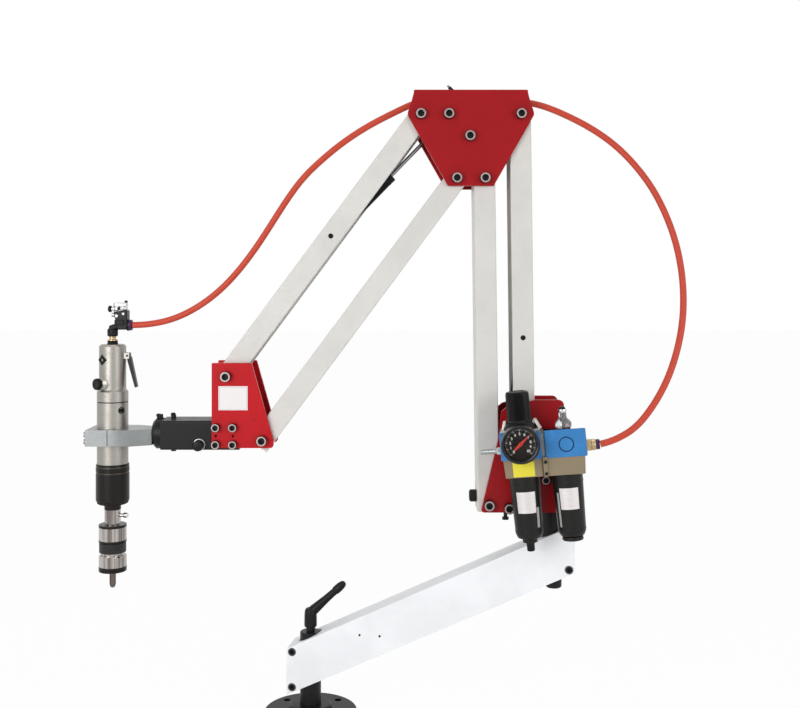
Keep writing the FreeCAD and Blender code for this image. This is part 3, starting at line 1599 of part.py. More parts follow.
chuck_ball = ball(d.chuck_pin_ball_radius, motor_x + d.chuck_pin_reach - d.chuck_pin_radius, arm_plane_y, pin_z)
keep("chuck_body", fuse(chuck_turned, chuck_pin, chuck_ball))

# Chuck sleeve, which slides down on the core to free the tap
sleeve_top = ring_floor - d.side_gap
sleeve_floor = nose_top + d.chuck_sleeve_travel + d.side_gap
keep("chuck_sleeve", turned("sleeve", (
    (d.chuck_core_radius + d.running_gap, sleeve_floor),
    (d.chuck_sleeve_radius, sleeve_floor),
    (d.chuck_sleeve_radius, sleeve_top),
    (d.chuck_core_radius + d.running_gap, sleeve_top),
), motor_x, arm_plane_y, case_top))

# Tap with its pointed end
tap_floor_z = nose_floor - d.tap_length
keep("tap", turned("tap", (
    (0, tap_floor_z),
    (d.tap_radius / 2, tap_floor_z),
    (d.tap_radius, tap_floor_z + d.tap_tip_length),
    (d.tap_radius, nose_floor + d.tap_shank_depth - d.running_gap),
    (0, nose_floor + d.tap_shank_depth - d.running_gap),
), motor_x, arm_plane_y, case_top))

# Air preparation set: its own frame, rolled and turned a little as it hangs on the bracket
SERVICE_TURN = Rotation(Z_AXIS, -plain(d.service_yaw_angle)).multiply(
    Rotation(Y_AXIS, -plain(d.service_roll_angle))
)
service_x = mast_x - d.service_setback
service_y = arm_plane_y - d.service_depth
filter_x = -d.unit_spacing / 2
lubricator_x = d.unit_spacing / 2


def in_service(node, thing):
    put(thing, service_x, service_y, service_height, SERVICE_TURN)
    return keep(node, thing)


def unit_block(middle):
    """One unit's cast body, with its ports bored along X."""
    body = new_body("unit")
    half = d.unit_width / 2
    deep = d.unit_depth / 2
    sketch = outline(body, "XZ_Plane", (
        (middle - half, -d.unit_bottom),
        (middle + half, -d.unit_bottom),
        (middle + half, d.unit_top),
        (middle - half, d.unit_top),
    ))
    pad(body, sketch, d.unit_depth, symmetric=True)
    round_edges(body, d.unit_round, lambda point, way: along(way, Z_AXIS))
    port = cylinder(
        d.unit_port_radius, d.unit_width + d.overrun * 2,
        middle - half - d.overrun, 0, 0, ALONG_X,
    )
    return body, port


filter_block, filter_port = unit_block(filter_x)
bonnet = cylinder(d.bonnet_radius, d.bonnet_height, filter_x, 0, d.unit_top)
bonnet_stem = cylinder(
    d.bonnet_stem_radius, d.bonnet_height + d.knob_height / 2, filter_x, 0, d.unit_top,
)
in_service("filter_body", cut(fuse(filter_block, bonnet, bonnet_stem), filter_port))
lubricator_block, lubricator_port = unit_block(lubricator_x)
in_service("lubricator_body", cut(lubricator_block, lubricator_port))

# Regulator knob, a cap over the bonnet's stem
knob_floor = d.unit_top + d.bonnet_height + d.knob_gap
knob_top = knob_floor + d.knob_height
in_service("regulator_knob", group(turned("knob", (
    (d.bonnet_stem_radius + d.running_gap, knob_floor),
    (d.knob_radius, knob_floor),
    (d.knob_radius, knob_top - d.knob_round),
    (d.knob_radius - d.knob_round, knob_top),
    (0, knob_top),
    (0, knob_floor + d.knob_height / 2 + d.knob_gap),
    (d.bonnet_stem_radius + d.running_gap, knob_floor + d.knob_height / 2 + d.knob_gap),
), filter_x, 0, 0)))


def bowl_profile(boss_radius, hole_radius):
    """A round bowl: thin wall, rounded foot and a boss under it."""
    top = -d.unit_bottom - d.side_gap
    floor = top - d.bowl_length + d.bowl_boss_height
    wall = d.bowl_wall
    low = d.bowl_radius - d.bowl_taper
    return (
        (d.bowl_radius - wall, top),
        (d.bowl_radius, top),
        (low, floor + d.bowl_round),
        (low - d.bowl_round * 0.3, floor + d.bowl_round * 0.3),
        (low - d.bowl_round, floor),
        (boss_radius, floor),
        (boss_radius, floor - d.bowl_boss_height),
        (hole_radius, floor - d.bowl_boss_height),
        (hole_radius, floor + wall * 2),
        (low - d.bowl_round, floor + wall * 2),
        (low - wall, floor + d.bowl_round + wall),
    )


in_service("filter_bowl", group(turned(
    "filter_bowl", bowl_profile(d.bowl_boss_radius * 0.8, d.drain_stem_radius + d.running_gap), filter_x,
)))
in_service("lubricator_bowl", group(turned(
    "lubricator_bowl", bowl_profile(d.bowl_boss_radius, d.drain_stem_radius), lubricator_x,
)))
drain_top = -d.unit_bottom - d.side_gap - d.bowl_length - d.side_gap
in_service("drain_valve", group(turned("drain", (
    (0, drain_top - d.drain_length),
    (d.drain_radius - d.side_gap * 2, drain_top - d.drain_length),
    (d.drain_radius, drain_top),
    (d.drain_stem_radius, drain_top),
    (d.drain_stem_radius, drain_top + d.bowl_boss_height + d.bowl_wall * 3),
    (0, drain_top + d.bowl_boss_height + d.bowl_wall * 3),
), filter_x)))

# Gauge: a stepped drum with a sunk dial, on a stem from the body's front face
gauge_back = d.unit_depth / 2 + d.gauge_stem_length
gauge_front = gauge_back + d.gauge_depth
dial = gauge_front - d.gauge_recess
gauge = turned("gauge", (
    (0, d.unit_depth / 2 + d.running_gap),
    (d.gauge_stem_radius, d.unit_depth / 2 + d.running_gap),
    (d.gauge_stem_radius, gauge_back),
    (d.gauge_radius - d.gauge_rim, gauge_back),
    (d.gauge_radius, gauge_back + d.gauge_rim),
    (d.gauge_radius, gauge_front - d.gauge_rim / 2),
    (d.gauge_radius - d.gauge_rim / 2, gauge_front),
    (d.gauge_radius - d.gauge_rim, gauge_front),
    (d.gauge_radius - d.gauge_rim, dial),
    (d.gauge_pin_radius, dial),
    (d.gauge_pin_radius, dial + d.gauge_recess / 2),
    (0, dial + d.gauge_recess / 2),
), filter_x, 0, d.gauge_rise, AGAINST_Y)
in_service("gauge_case", group(gauge))
needle = new_body("needle")
pad(needle, outline(needle, "XY_Plane", (
    (-d.needle_tail, -d.needle_width / 2),
    (0, -d.needle_width),
    (d.needle_length, 0),
    (0, d.needle_width),
    (-d.needle_tail, d.needle_width / 2),
)), d.needle_thickness)
needle_rest = AGAINST_Y.multiply(Rotation(Z_AXIS, plain(d.needle_rest_angle)))
needle_y = -dial - d.gauge_recess / 4
put(needle, filter_x, needle_y, d.gauge_rise, needle_rest)
needle_hub = cylinder(
    d.needle_hub_radius, d.needle_thickness * 2, filter_x, needle_y, d.gauge_rise, AGAINST_Y,
)
needle_hole = cylinder(
    d.gauge_pin_radius + d.running_gap, d.gauge_recess,
    filter_x, needle_y + d.gauge_recess / 2, d.gauge_rise, AGAINST_Y,
)
in_service("gauge_needle", cut(fuse(needle, needle_hub), needle_hole))

# Sight dome on the lubricator
dome_floor = d.unit_top + d.running_gap
dome_top = dome_floor + d.dome_base_height + d.dome_height
in_service("sight_dome", group(turned("dome", (
    (0, dome_floor),
    (d.dome_base_radius, dome_floor),
    (d.dome_base_radius, dome_floor + d.dome_base_height * 0.5),
    (d.dome_radius, dome_floor + d.dome_base_height),
    (d.dome_radius, dome_top - d.dome_plug_radius),
    (d.dome_plug_radius, dome_top),
    (0, dome_top),
), lubricator_x)))

# Inlet barb at the left, outlet fitting at the right
barb_start = filter_x - d.unit_width / 2
barb = turned("barb", (
    (0, -d.overrun),
    (d.barb_radius, -d.overrun),
    (d.barb_radius, 0),
    (d.barb_hex_radius, 0),
    (d.barb_hex_radius, d.barb_hex_length),
    (d.barb_radius, d.barb_hex_length),
    (d.barb_radius, d.barb_length),
    (0, d.barb_length),
), barb_start - d.running_gap, 0, 0, Rotation(Y_AXIS, -90))
in_service("inlet_barb", group(barb))
outlet_start = lubricator_x + d.unit_width / 2 + d.running_gap
fitting_end = d.fitting_length + d.fitting_ring_length
in_service("outlet_fitting", group(turned("outlet", (
    (0, -d.overrun),
    (d.unit_port_radius - d.side_gap, -d.overrun),
    (d.unit_port_radius - d.side_gap, 0),
    (d.fitting_radius, 0),
    (d.fitting_radius, d.fitting_length),
    (d.fitting_ring_radius, d.fitting_length),
    (d.fitting_ring_radius, fitting_end),
    (0, fitting_end),
), outlet_start, 0, 0, ALONG_X)))

# Bracket of the set: a foot screwed to the lower plate, with a stalk to a clip between the units
clip_half = d.clip_width / 2 - d.side_gap
stalk_reach = d.service_depth - d.plate_outer_half - d.strap_thickness / 2 - d.side_gap
clip = block(
    clip_half * 2, d.clip_depth, d.clip_height,
    -clip_half, -d.clip_depth / 2, -d.clip_height / 2,
)
stalk = block(
    clip_half * 2, stalk_reach - d.clip_depth / 2 + d.overrun, d.clip_height / 2,
    -clip_half, d.clip_depth / 2 - d.overrun, -d.clip_height / 4,
)
hanger = put(fuse(clip, stalk), service_x, service_y, service_height, SERVICE_TURN)
strap_face = arm_plane_y - d.plate_outer_half - d.side_gap
strap_left = service_x - d.strap_width / 2 + d.strap_shift
strap = block(
    d.strap_width, d.strap_thickness, d.strap_height,
    strap_left, strap_face - d.strap_thickness, service_height - d.strap_height / 2,
)
strap_screws = []
strap_rooms = []
for side in (-1, 1):
    screw_z = service_height + d.strap_screw_spacing / 2 * side
    strap_screws.append(socket_screw(
        d.strap_screw_radius - d.running_gap, d.strap_thickness + d.plate_thickness,
        d.strap_screw_head_radius, d.strap_screw_head_height,
        service_x + d.strap_screw_place, strap_face - d.strap_thickness, screw_z, AGAINST_Y,
    ))
    strap_rooms.append(cylinder(
        d.strap_screw_radius, d.strap_thickness * 2,
        service_x + d.strap_screw_place, strap_face - d.strap_thickness * 1.5, screw_z, ALONG_Y,
    ))
keep("service_bracket", group(cut(fuse(hanger, strap), *strap_rooms), *strap_screws))


def route_points(route):
    """The route's points as vectors in the arms' plane."""
    return [Vector(x, y + plain(arm_plane_y), z) for x, y, z in route]


def hose(node, route):
    """A tube along straight runs joined by tangent arcs, as large as the runs allow."""
    points = route_points(route)
    edges = []
    radii = []
    start = points[0]
    for before, corner, after in zip(points, points[1:], points[2:]):
        toward = (before - corner).normalize()
        away = (after - corner).normalize()
        turn = math.pi - toward.getAngle(away)
        shorter = min((before - corner).Length, (after - corner).Length)
        setback = ARC_RUN_SHARE * shorter
        radius = setback / math.tan(turn / 2)
        radii.append(radius)
        first = corner + toward * setback
        last = corner + away * setback
        bisector = (toward + away).normalize()
        centre = corner + bisector * math.hypot(radius, setback)
        middle = centre - bisector * radius
        edges.append(Part.LineSegment(start, first).toShape())
        edges.append(Part.Arc(first, middle, last).toShape())
        start = last
    edges.append(Part.LineSegment(start, points[-1]).toShape())
    wire = Part.Wire(edges)
    way = (points[1] - points[0]).normalize()
    section = Part.Wire([Part.Circle(points[0], way, plain(d.hose_radius)).toShape()])
    tube = wire.makePipeShell([section], True, False)
    piece = doc.addObject("Part::Feature", own("hose"))
    piece.Shape = tube
    area = math.pi * plain(d.hose_radius) ** 2
    print(
        node, "length", round(wire.Length, 1), "least radius", round(min(radii), 1),
        "volume over section by length", round(tube.Volume / (area * wire.Length), 4),
        "radii", [round(radius) for radius in radii],
    )
    return keep(node, piece)


hose("hose_rear", HOSE_REAR_ROUTE)
hose("hose_middle", HOSE_MIDDLE_ROUTE)
hose("hose_front", HOSE_FRONT_ROUTE)

doc.recompute()
for thing in doc.Objects:
    if "Invalid" in thing.State or "Error" in thing.State:
        raise RuntimeError("failed feature " + thing.Name + " " + str(thing.State))
for node, thing in pieces.items():
    if thing.Shape.isNull() or not thing.Shape.isValid():
        raise RuntimeError("bad shape " + node)
os.makedirs("parts", exist_ok=True)
for node, thing in pieces.items():
    thing.Shape.exportStep("parts/" + node + ".step")
print("pieces", len(pieces), "solids", sum(len(thing.Shape.Solids) for thing in pieces.values()))
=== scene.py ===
import math

import bpy
from mathutils import Matrix, Vector


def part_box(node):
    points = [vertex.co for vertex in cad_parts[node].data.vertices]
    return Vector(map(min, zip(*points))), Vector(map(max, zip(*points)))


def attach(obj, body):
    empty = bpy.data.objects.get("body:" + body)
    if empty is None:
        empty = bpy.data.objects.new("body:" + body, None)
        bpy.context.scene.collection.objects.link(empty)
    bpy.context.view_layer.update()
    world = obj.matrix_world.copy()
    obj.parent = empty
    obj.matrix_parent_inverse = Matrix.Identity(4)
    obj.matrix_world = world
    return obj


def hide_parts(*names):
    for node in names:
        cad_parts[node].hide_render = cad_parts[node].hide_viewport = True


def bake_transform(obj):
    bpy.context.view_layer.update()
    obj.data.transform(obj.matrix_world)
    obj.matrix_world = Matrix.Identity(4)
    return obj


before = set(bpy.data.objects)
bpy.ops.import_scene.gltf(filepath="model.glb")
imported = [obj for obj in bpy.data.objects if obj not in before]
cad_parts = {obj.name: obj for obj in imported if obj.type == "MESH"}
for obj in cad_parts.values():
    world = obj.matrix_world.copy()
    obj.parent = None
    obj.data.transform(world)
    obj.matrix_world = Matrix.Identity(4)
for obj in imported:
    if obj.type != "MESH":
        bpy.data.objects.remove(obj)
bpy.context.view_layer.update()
MM = 0.001


# Flange, post and clamp disc: turned steel with a satin black coat. The flange is bolted to the
# bench, the post stands in it, and the disc closes the swivel on the post's spindle.
class Wire:
    """One output of a material's nodes, so that sums on it are written as plain maths."""

    def __init__(self, socket):
        self.socket = socket

    def node(self, kind, settings=None, inputs=None, output=0):
        """A further node: its settings are set first, then its inputs get values or links."""
        made = self.socket.id_data.nodes.new("ShaderNode" + kind)
        for key, value in (settings or {}).items():
            setattr(made, key, value)
        for key, value in (inputs or {}).items():
            if isinstance(value, Wire):
                self.socket.id_data.links.new(value.socket, made.inputs[key])
            else:
                made.inputs[key].default_value = value
        return Wire(made.outputs[output])

    def math(self, operation, first, second=0.0):
        return self.node("Math", {"operation": operation}, {0: first, 1: second})

    def __add__(self, other):
        return self.math("ADD", self, other)

    def __sub__(self, other):
        return self.math("SUBTRACT", self, other)

    def __rsub__(self, other):
        return self.math("SUBTRACT", other, self)

    def __mul__(self, other):
        return self.math("MULTIPLY", self, other)

    __radd__ = __add__
    __rmul__ = __mul__

    def mix(self, first, second):
        """Colours mixed with this wire as the factor."""
        return self.node("Mix", {"data_type": "RGBA"}, {0: self, 6: first, 7: second}, 2)

    def band(self, low, high):
        """A smooth rise from 0 at the low value to 1 at the high one."""
        return self.node("MapRange", {"interpolation_type": "SMOOTHSTEP"}, {0: self, 1: low, 2: high})

    def stretched(self, x, y, z):
        return self.node("Mapping", None, {0: self, 3: (x, y, z)})

    def noise(self, scale, detail=2.0, roughness=0.5):
        return self.node("TexNoise", None, {0: self, 2: scale, 3: detail, 4: roughness})

    def parts(self):
        apart = self.node("SeparateXYZ", None, {0: self}).socket.node
        return [Wire(output) for output in apart.outputs]


def opened(name, **even):
    """A new material with its even values set, and the piece's own coordinates."""
    material = bpy.data.materials.new(name)
    material.use_nodes = True
    shader = material.node_tree.nodes["Principled BSDF"]
    for key, value in even.items():
        shader.inputs[key.replace("_", " ")].default_value = value
    place = Wire(material.node_tree.nodes.new("ShaderNodeTexCoord").outputs["Object"])
    return material, shader, place


def feed(shader, socket, wire):
    shader.id_data.links.new(wire.socket, shader.inputs[socket])


def bump(shader, height, distance, strength=1.0):
    """Relief of the given real depth in the finish."""
    relief = height.node("Bump", None, {"Height": height, "Distance": distance, "Strength": strength})
    feed(shader, "Normal", relief)


def shade(colour, by):
    return (*[min(1.0, part * by) for part in colour], 1)


def coat(name, colour, roughness, peel=0.00003, speck=0.0, coat_weight=0.0, gloss=0.2):
    """Sprayed or baked coat on metal: faint cloudiness, orange peel and a few dull patches."""
    material, shader, place = opened(
        name, Coat_Weight=coat_weight, Coat_Roughness=0.12, Specular_IOR_Level=gloss,
    )
    cloud = place.noise(14, 4, 0.6)
    dirt = place.noise(55, 6, 0.7).band(0.62, 0.8)
    base = cloud.band(0.3, 0.7).mix(shade(colour, 0.95), shade(colour, 1.03))
    feed(shader, "Base Color", (dirt * speck).mix(base, shade(colour, 0.55)))
    feed(shader, "Roughness", roughness + (cloud - 0.5) * 0.12 + dirt * 0.1)
    bump(shader, place.noise(750, 2), peel)
    return material


def turned_metal(name, colour, roughness, turn=(1, 1, 60), metallic=1.0, depth=0.00002):
    """Metal off the lathe: fine tool marks round the piece's axis and a little tarnish."""
    material, shader, place = opened(name, Metallic=metallic, Specular_IOR_Level=0.25)
    lines = place.stretched(*turn).noise(60, 3, 0.7)
    tarnish = place.noise(35, 5, 0.65).band(0.45, 0.8)
    base = lines.band(0.3, 0.7).mix(shade(colour, 0.88), shade(colour, 1.06))
    feed(shader, "Base Color", (tarnish * 0.35).mix(base, shade(colour, 0.6)))
    feed(shader, "Roughness", roughness + (lines - 0.5) * 0.2 + tarnish * 0.1)
    bump(shader, lines, depth)
    return material


def moulded(name, colour, roughness, grain=420, depth=0.00004, gloss=0.18):
    """Moulded plastic or rubber: an even colour with a fine grain, rubbed brighter in places."""
    material, shader, place = opened(name, Specular_IOR_Level=gloss)
    rubbed = place.noise(40, 4, 0.6).band(0.45, 0.75)
    feed(shader, "Base Color", (rubbed * 0.6).mix(shade(colour, 0.95), shade(colour, 1.35)))
    feed(shader, "Roughness", roughness - rubbed * 0.1)
    bump(shader, place.noise(grain, 3, 0.6), depth)
    return material


def only(piece):
    """The piece alone selected and active."""
    if bpy.context.mode != "OBJECT":
        bpy.ops.object.mode_set(mode="OBJECT")
    bpy.ops.object.select_all(action="DESELECT")
    piece.select_set(True)
    bpy.context.view_layer.objects.active = piece
    return piece


def modified(piece, kind, **settings):
    """A modifier that is added with its settings and applied."""
    only(piece)
    modifier = piece.modifiers.new(kind.lower(), kind)
    for key, value in settings.items():
        setattr(modifier, key, value)
    bpy.ops.object.modifier_apply(modifier=modifier.name)
    return piece


def bevelled(piece, width, segments=2, angle=30):
    return modified(
        piece, "BEVEL", width=width * MM, segments=segments, limit_method="ANGLE",
        angle_limit=math.radians(angle), use_clamp_overlap=True,
    )


def copied(node, width=0.0, segments=2):
    """A copy of a CAD piece with its loose triangles merged, its flats cleared and its edges eased."""
    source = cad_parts[node]
    piece = bpy.data.objects.new(node + "_finished", source.data.copy())
    bpy.context.collection.objects.link(piece)
    only(piece)
    bpy.ops.mesh.customdata_custom_splitnormals_clear()
    bpy.ops.object.mode_set(mode="EDIT")
    bpy.ops.mesh.select_all(action="SELECT")
    bpy.ops.mesh.remove_doubles(threshold=0.000002)
    bpy.ops.mesh.dissolve_limited(angle_limit=math.radians(0.5))
    bpy.ops.object.mode_set(mode="OBJECT")
    if width:
        bevelled(piece, width, segments)
    return piece


def picked(piece, test, kind="VERT"):
    """Edit mode with only those vertices or faces selected whose place (and normal) pass the test."""
    only(piece)
    bpy.ops.object.mode_set(mode="EDIT")
    bpy.ops.mesh.select_mode(type=kind)
    bpy.ops.mesh.select_all(action="DESELECT")
    bpy.ops.object.mode_set(mode="OBJECT")
    if kind == "VERT":
        for vertex in piece.data.vertices:
            vertex.select = test(vertex.co / MM)
    else:
        for face in piece.data.polygons:
            face.select = test(face.center / MM, face.normal)
    bpy.ops.object.mode_set(mode="EDIT")
    return piece


def shifted(piece, test, by):
    """The vertices that pass the test moved, in millimetres."""
    picked(piece, test)
    bpy.ops.transform.translate(value=Vector(by) * MM)
    bpy.ops.object.mode_set(mode="OBJECT")
    return piece


def resized(piece, test, by, centre=(0, 0)):
    """The vertices that pass the test drawn in or out from an upright line."""
    picked(piece, test)
    middle = (centre[0] * MM, centre[1] * MM, 0)
    bpy.ops.transform.resize(value=(*by, 1), center_override=middle)
    bpy.ops.object.mode_set(mode="OBJECT")
    return piece


def away(v, centre=(0, 0)):
    """A vertex's distance from an upright line."""
    return math.hypot(v.x - centre[0], v.y - centre[1])


def on_rib(v, step, every, wide, centre=(0, 0)):
    """Whether a vertex is on one of the ribs round an upright line: they are wide steps of every few."""
    angle = math.degrees(math.atan2(v.y - centre[1], v.x - centre[0]))
    return round(angle / step) % every < wide


def set_down(piece, place):
    """The piece put at its place for good, so that its object is at the origin and unturned."""
    only(piece)
    piece.matrix_world = place
    bpy.ops.object.transform_apply(location=True, rotation=True, scale=True)
    return piece


def block(name, low, high, width=0.0, segments=2):
    """A square piece between two corners in millimetres, with its edges eased."""
    bpy.ops.object.select_all(action="DESELECT")
    middle = [(a + b) / 2 * MM for a, b in zip(low, high)]
    bpy.ops.mesh.primitive_cube_add(size=1, location=middle)
    piece = bpy.context.object
    piece.name = name
    piece.scale = [(b - a) * MM for a, b in zip(low, high)]
    bpy.ops.object.transform_apply(location=True, rotation=True, scale=True)
    if width:
        bevelled(piece, width, segments)
    return piece


UP = Matrix.Identity(4)
FRONT = Matrix.Rotation(math.pi / 2, 4, "X")
BACK = Matrix.Rotation(-math.pi / 2, 4, "X")
RIGHT = Matrix.Rotation(math.pi / 2, 4, "Y")
LEFT = Matrix.Rotation(-math.pi / 2, 4, "Y")


def at(x, y, z, way=UP):
    """A place in millimetres with the way that a turned piece's axis points."""
    return Matrix.Translation((x * MM, y * MM, z * MM)) @ way


def drawn_up(name, steps, sides, fill):
    """A circle drawn up ring by ring, left in edit mode with all of it selected."""
    bpy.ops.object.select_all(action="DESELECT")
    radius, height = steps[0]
    bpy.ops.mesh.primitive_circle_add(
        vertices=sides, radius=radius * MM, fill_type=fill, location=(0, 0, height * MM),
    )
    piece = bpy.context.object
    piece.name = name
    bpy.ops.object.transform_apply(location=True, rotation=True, scale=True)
    bpy.ops.object.mode_set(mode="EDIT")
    bpy.ops.mesh.select_mode(type="VERT")
    bpy.ops.mesh.select_all(action="SELECT")
    for next_radius, next_height in steps[1:]:
        bpy.ops.mesh.extrude_region_move(
            TRANSFORM_OT_translate={"value": (0, 0, (next_height - height) * MM)},
        )
        by = next_radius / radius
        if abs(by - 1) > 1e-6:
            bpy.ops.transform.resize(value=(by, by, 1), center_override=(0, 0, next_height * MM))
        radius, height = next_radius, next_height
    bpy.ops.mesh.select_all(action="SELECT")
    return piece


def closed(piece, place, width, segments):
    """A drawn-up piece with its normals outward and its edges eased, put at its place."""
    bpy.ops.mesh.normals_make_consistent(inside=False)
    bpy.ops.object.mode_set(mode="OBJECT")
    if width:
        bevelled(piece, width, segments)
    return set_down(piece, place)


def turned(name, steps, place=UP, sides=64, width=0.0, segments=2):
    """A round piece: each step is a radius and a height in millimetres."""
    return closed(drawn_up(name, steps, sides, "NGON"), place, width, segments)


def ringed(name, outer, inner, low, high, place=UP, sides=64, width=0.0):
    """A turned ring, drawn up outside, in across its top, down its bore and out under its foot."""
    steps = ((outer, low), (outer, high), (inner, high), (inner, low), (outer, low))
    piece = drawn_up(name, steps, sides, "NOTHING")
    bpy.ops.mesh.remove_doubles(threshold=0.000002)
    return closed(piece, place, width, 2)


def joined(name, *pieces):
    """Like pieces in one object."""
    bpy.ops.object.select_all(action="DESELECT")
    for piece in pieces:
        piece.select_set(True)
    bpy.context.view_layer.objects.active = pieces[0]
    if len(pieces) > 1:
        bpy.ops.object.join()
    pieces[0].name = name
    return pieces[0]


def finished(piece, material, body, slot, *nodes, angle=35):
    """The piece smoothed, coated, set on its body, and shown for the CAD pieces it stands for."""
    only(piece)
    piece.data.materials.clear()
    piece.data.materials.append(material)
    bpy.ops.object.shade_smooth_by_angle(angle=math.radians(angle))
    modified(piece, "WEIGHTED_NORMAL", keep_sharp=True)
    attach(piece, body)
    if nodes:
        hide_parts(*nodes)
    return piece


def shown(node, width, material, body, slot, segments=2):
    """A CAD piece with its edges eased, finished in its own place."""
    return finished(copied(node, width, segments), material, body, slot, node)


BLACK = (0.009, 0.009, 0.010)
black_coat = coat("satin_black_coat", BLACK, 0.38, 0.00004, 0.25)
shown("base_flange", 0.6, black_coat, "base", "black_steel")
shown("base_post", 0.6, black_coat, "base", "black_steel")
shown("clamp_disc", 0.4, black_coat, "base", "black_steel")

# Clamp lever: a moulded black handle on a steel insert. It is lifted off the insert's splines,
# turned back and dropped, so that it can be wound round within the room under the arm.
black_plastic = moulded("black_moulding", (0.008, 0.008, 0.009), 0.42)
steel = turned_metal("turned_steel", (0.55, 0.55, 0.56), 0.32)
blackened = turned_metal("blackened_steel", (0.020, 0.020, 0.021), 0.34, (1, 1, 1), 0.6)
shown("clamp_lever_stud", 0.3, blackened, "lever_stud", "steel")
HUB_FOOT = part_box("clamp_lever_handle")[0][2] / MM
HUB_TOP = HUB_FOOT + 31.0
GRIP_RISE = 41.5
hub = turned("lever_hub", (
    (7.7, HUB_FOOT), (9.6, HUB_FOOT + 0.8), (10.3, HUB_FOOT + 3.2), (10.0, HUB_TOP - 10),
    (9.2, HUB_TOP - 3.6), (7.6, HUB_TOP - 1.0), (5.0, HUB_TOP),
), UP, 64, 0.4, 3)
grip = turned("lever_grip", (
    (8.0, 0), (8.3, 7), (7.3, 20), (6.2, 34), (5.8, 48), (5.8, 52), (6.8, 54.5), (6.9, 62),
    (6.2, 68), (4.8, 72.4), (2.4, 74.4),
), at(0, 0, HUB_TOP - 8.0) @ Matrix.Rotation(math.radians(90 - GRIP_RISE), 4, "Y"), 48, 0.3, 3)
handle = joined("lever_handle", hub, grip)
finished(handle, black_plastic, "lever_handle", "black_plastic", "clamp_lever_handle")

# Base arm: a welded box of 3 mm sheet with a white baked coat. Bored blocks in its two ends carry
# the post's swivel and the mast, and socket screws through its sides hold them. Small plugs close
# the two small holes in each side, and two small screws stand about 10 mm further along the arm.
ARM_HALF = 27.0
arm_coat = coat("cool_white_coat", (0.90, 0.92, 0.94), 0.34, 0.00002, 0.06)
arm_turn = Matrix.Rotation(math.radians(-9.8), 4, "Z")
shell = copied("base_arm_shell", 1.2, 3)


def on_arm(places, name, steps, sides, edge=0.0):
    """Like round pieces at places along the arm, each on its front and on its back."""
    return [
        turned(name, steps, arm_turn @ at(along, y, z, way), sides, edge)
        for along, z in places for y, way in ((-ARM_HALF, FRONT), (ARM_HALF, BACK))
    ]


plugs = on_arm(((76.0, 133.4), (109.0, 149.1)), "plug", ((3.7, 0.03), (3.7, -2.4)), 32)
shell = joined("arm_shell", shell, *plugs)
finished(shell, arm_coat, "base_arm", "white_coat", "base_arm_shell")
GRUB = ((1.85, -2.0), (1.85, 0.12), (1.2, 0.2), (1.0, 0.05))
grubs = on_arm(((86.5, 147.5), (118.8, 147.5)), "grub", GRUB, 24)
finished(joined("arm_grub_screws", *grubs), blackened, "base_arm", "black_screw")
shown("post_block", 0.4, steel, "base_arm", "steel")
shown("mast_block", 0.4, steel, "base_arm", "steel")
black_screw = turned_metal("blackened_screw", (0.013, 0.013, 0.014), 0.36, (1, 1, 1), 0.5)
shown("base_arm_screws", 0.3, black_screw, "base_arm", "black_screw")

# Mast: a blackened steel spindle that turns in the base arm's high end, held from below by its nut.
# The block on it stands between the lower plates.
for node in ("mast_spindle", "mast_nut", "lower_bracket_block"):
    shown(node, 0.5, black_coat, "lower_bracket", "black_steel")

# Brackets: pairs of 6 mm laser-cut plates with a deep red coat and eased edges, held apart by
# the pivots' screws, the blocks between them and one spacer.
# The upper and the tool plates reach a little higher than their solids.
PLATE_RISE = 3.0
TOP_BAND = 1.5
red_coat = coat("deep_red_coat", (0.345, 0.0075, 0.011), 0.34, 0.00003, 0.06, 0.0, 0.16)
bright_red = coat("tool_plate_red_coat", (0.50, 0.008, 0.013), 0.34, 0.00003, 0.04, 0.0, 0.16)
for place, finish in (("lower", red_coat), ("upper", red_coat), ("tool", bright_red)):
    for side in ("front", "back"):
        node = place + "_plate_" + side
        plate = copied(node, 0.7)
        if place != "lower":
            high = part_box(node)[1][2] / MM - TOP_BAND
            shifted(plate, lambda v: v.z > high, (0, 0, PLATE_RISE))
        finished(plate, finish, place + "_bracket", "red_coat", node)
shown("upper_spacer", 0.4, black_coat, "upper_bracket", "black_steel")

# Pivot screws and block screws: blackened socket screws sunk in dull plated collars, with nuts
# behind the back plates. The pivots' collars are 15 mm across and the block screws' 12 mm.
dull_ring = turned_metal("dull_plated_ring", (0.40, 0.345, 0.33), 0.38, (1, 60, 1), 0.85)
SCREW_FRONT = -100.4
for node, body, pivots, holders in (
    (
        "lower_bracket_bolts", "lower_bracket", ((280.4, 366.1), (335.4, 464.0), (310.9, 361.6)),
        ((366.6, 404.8), (366.6, 428.4), (381.4, 404.8), (381.4, 428.4)),
    ),
    (
        "upper_bracket_bolts", "upper_bracket",
        ((176.3, 963.9), (231.3, 866.0), (329.3, 963.9), (274.3, 866.0), (219.1, 963.9), (251.2, 930.3)), (),
    ),
    (
        "tool_bracket_bolts", "tool_bracket", ((-121.8, 562.5), (-66.8, 464.6)),
        ((-137.3, 458.5), (-137.3, 484.5), (-111.3, 458.5), (-111.3, 484.5)),
    ),
):
    shown(node, 0.3, black_screw, body, "black_screw")
    collars = []
    for places, radius, reach in ((pivots, 8.0, 10.0), (holders, 6.6, 8.0)):
        for x, z in places:
            collars.append(ringed(
                "collar", radius - 0.5, radius * 0.66, reach - 0.6, reach + 0.35,
                at(x, SCREW_FRONT, z, FRONT), 48, 0.3,
            ))
    finished(joined(body + "_collars", *collars), dull_ring, body, "black_screw")

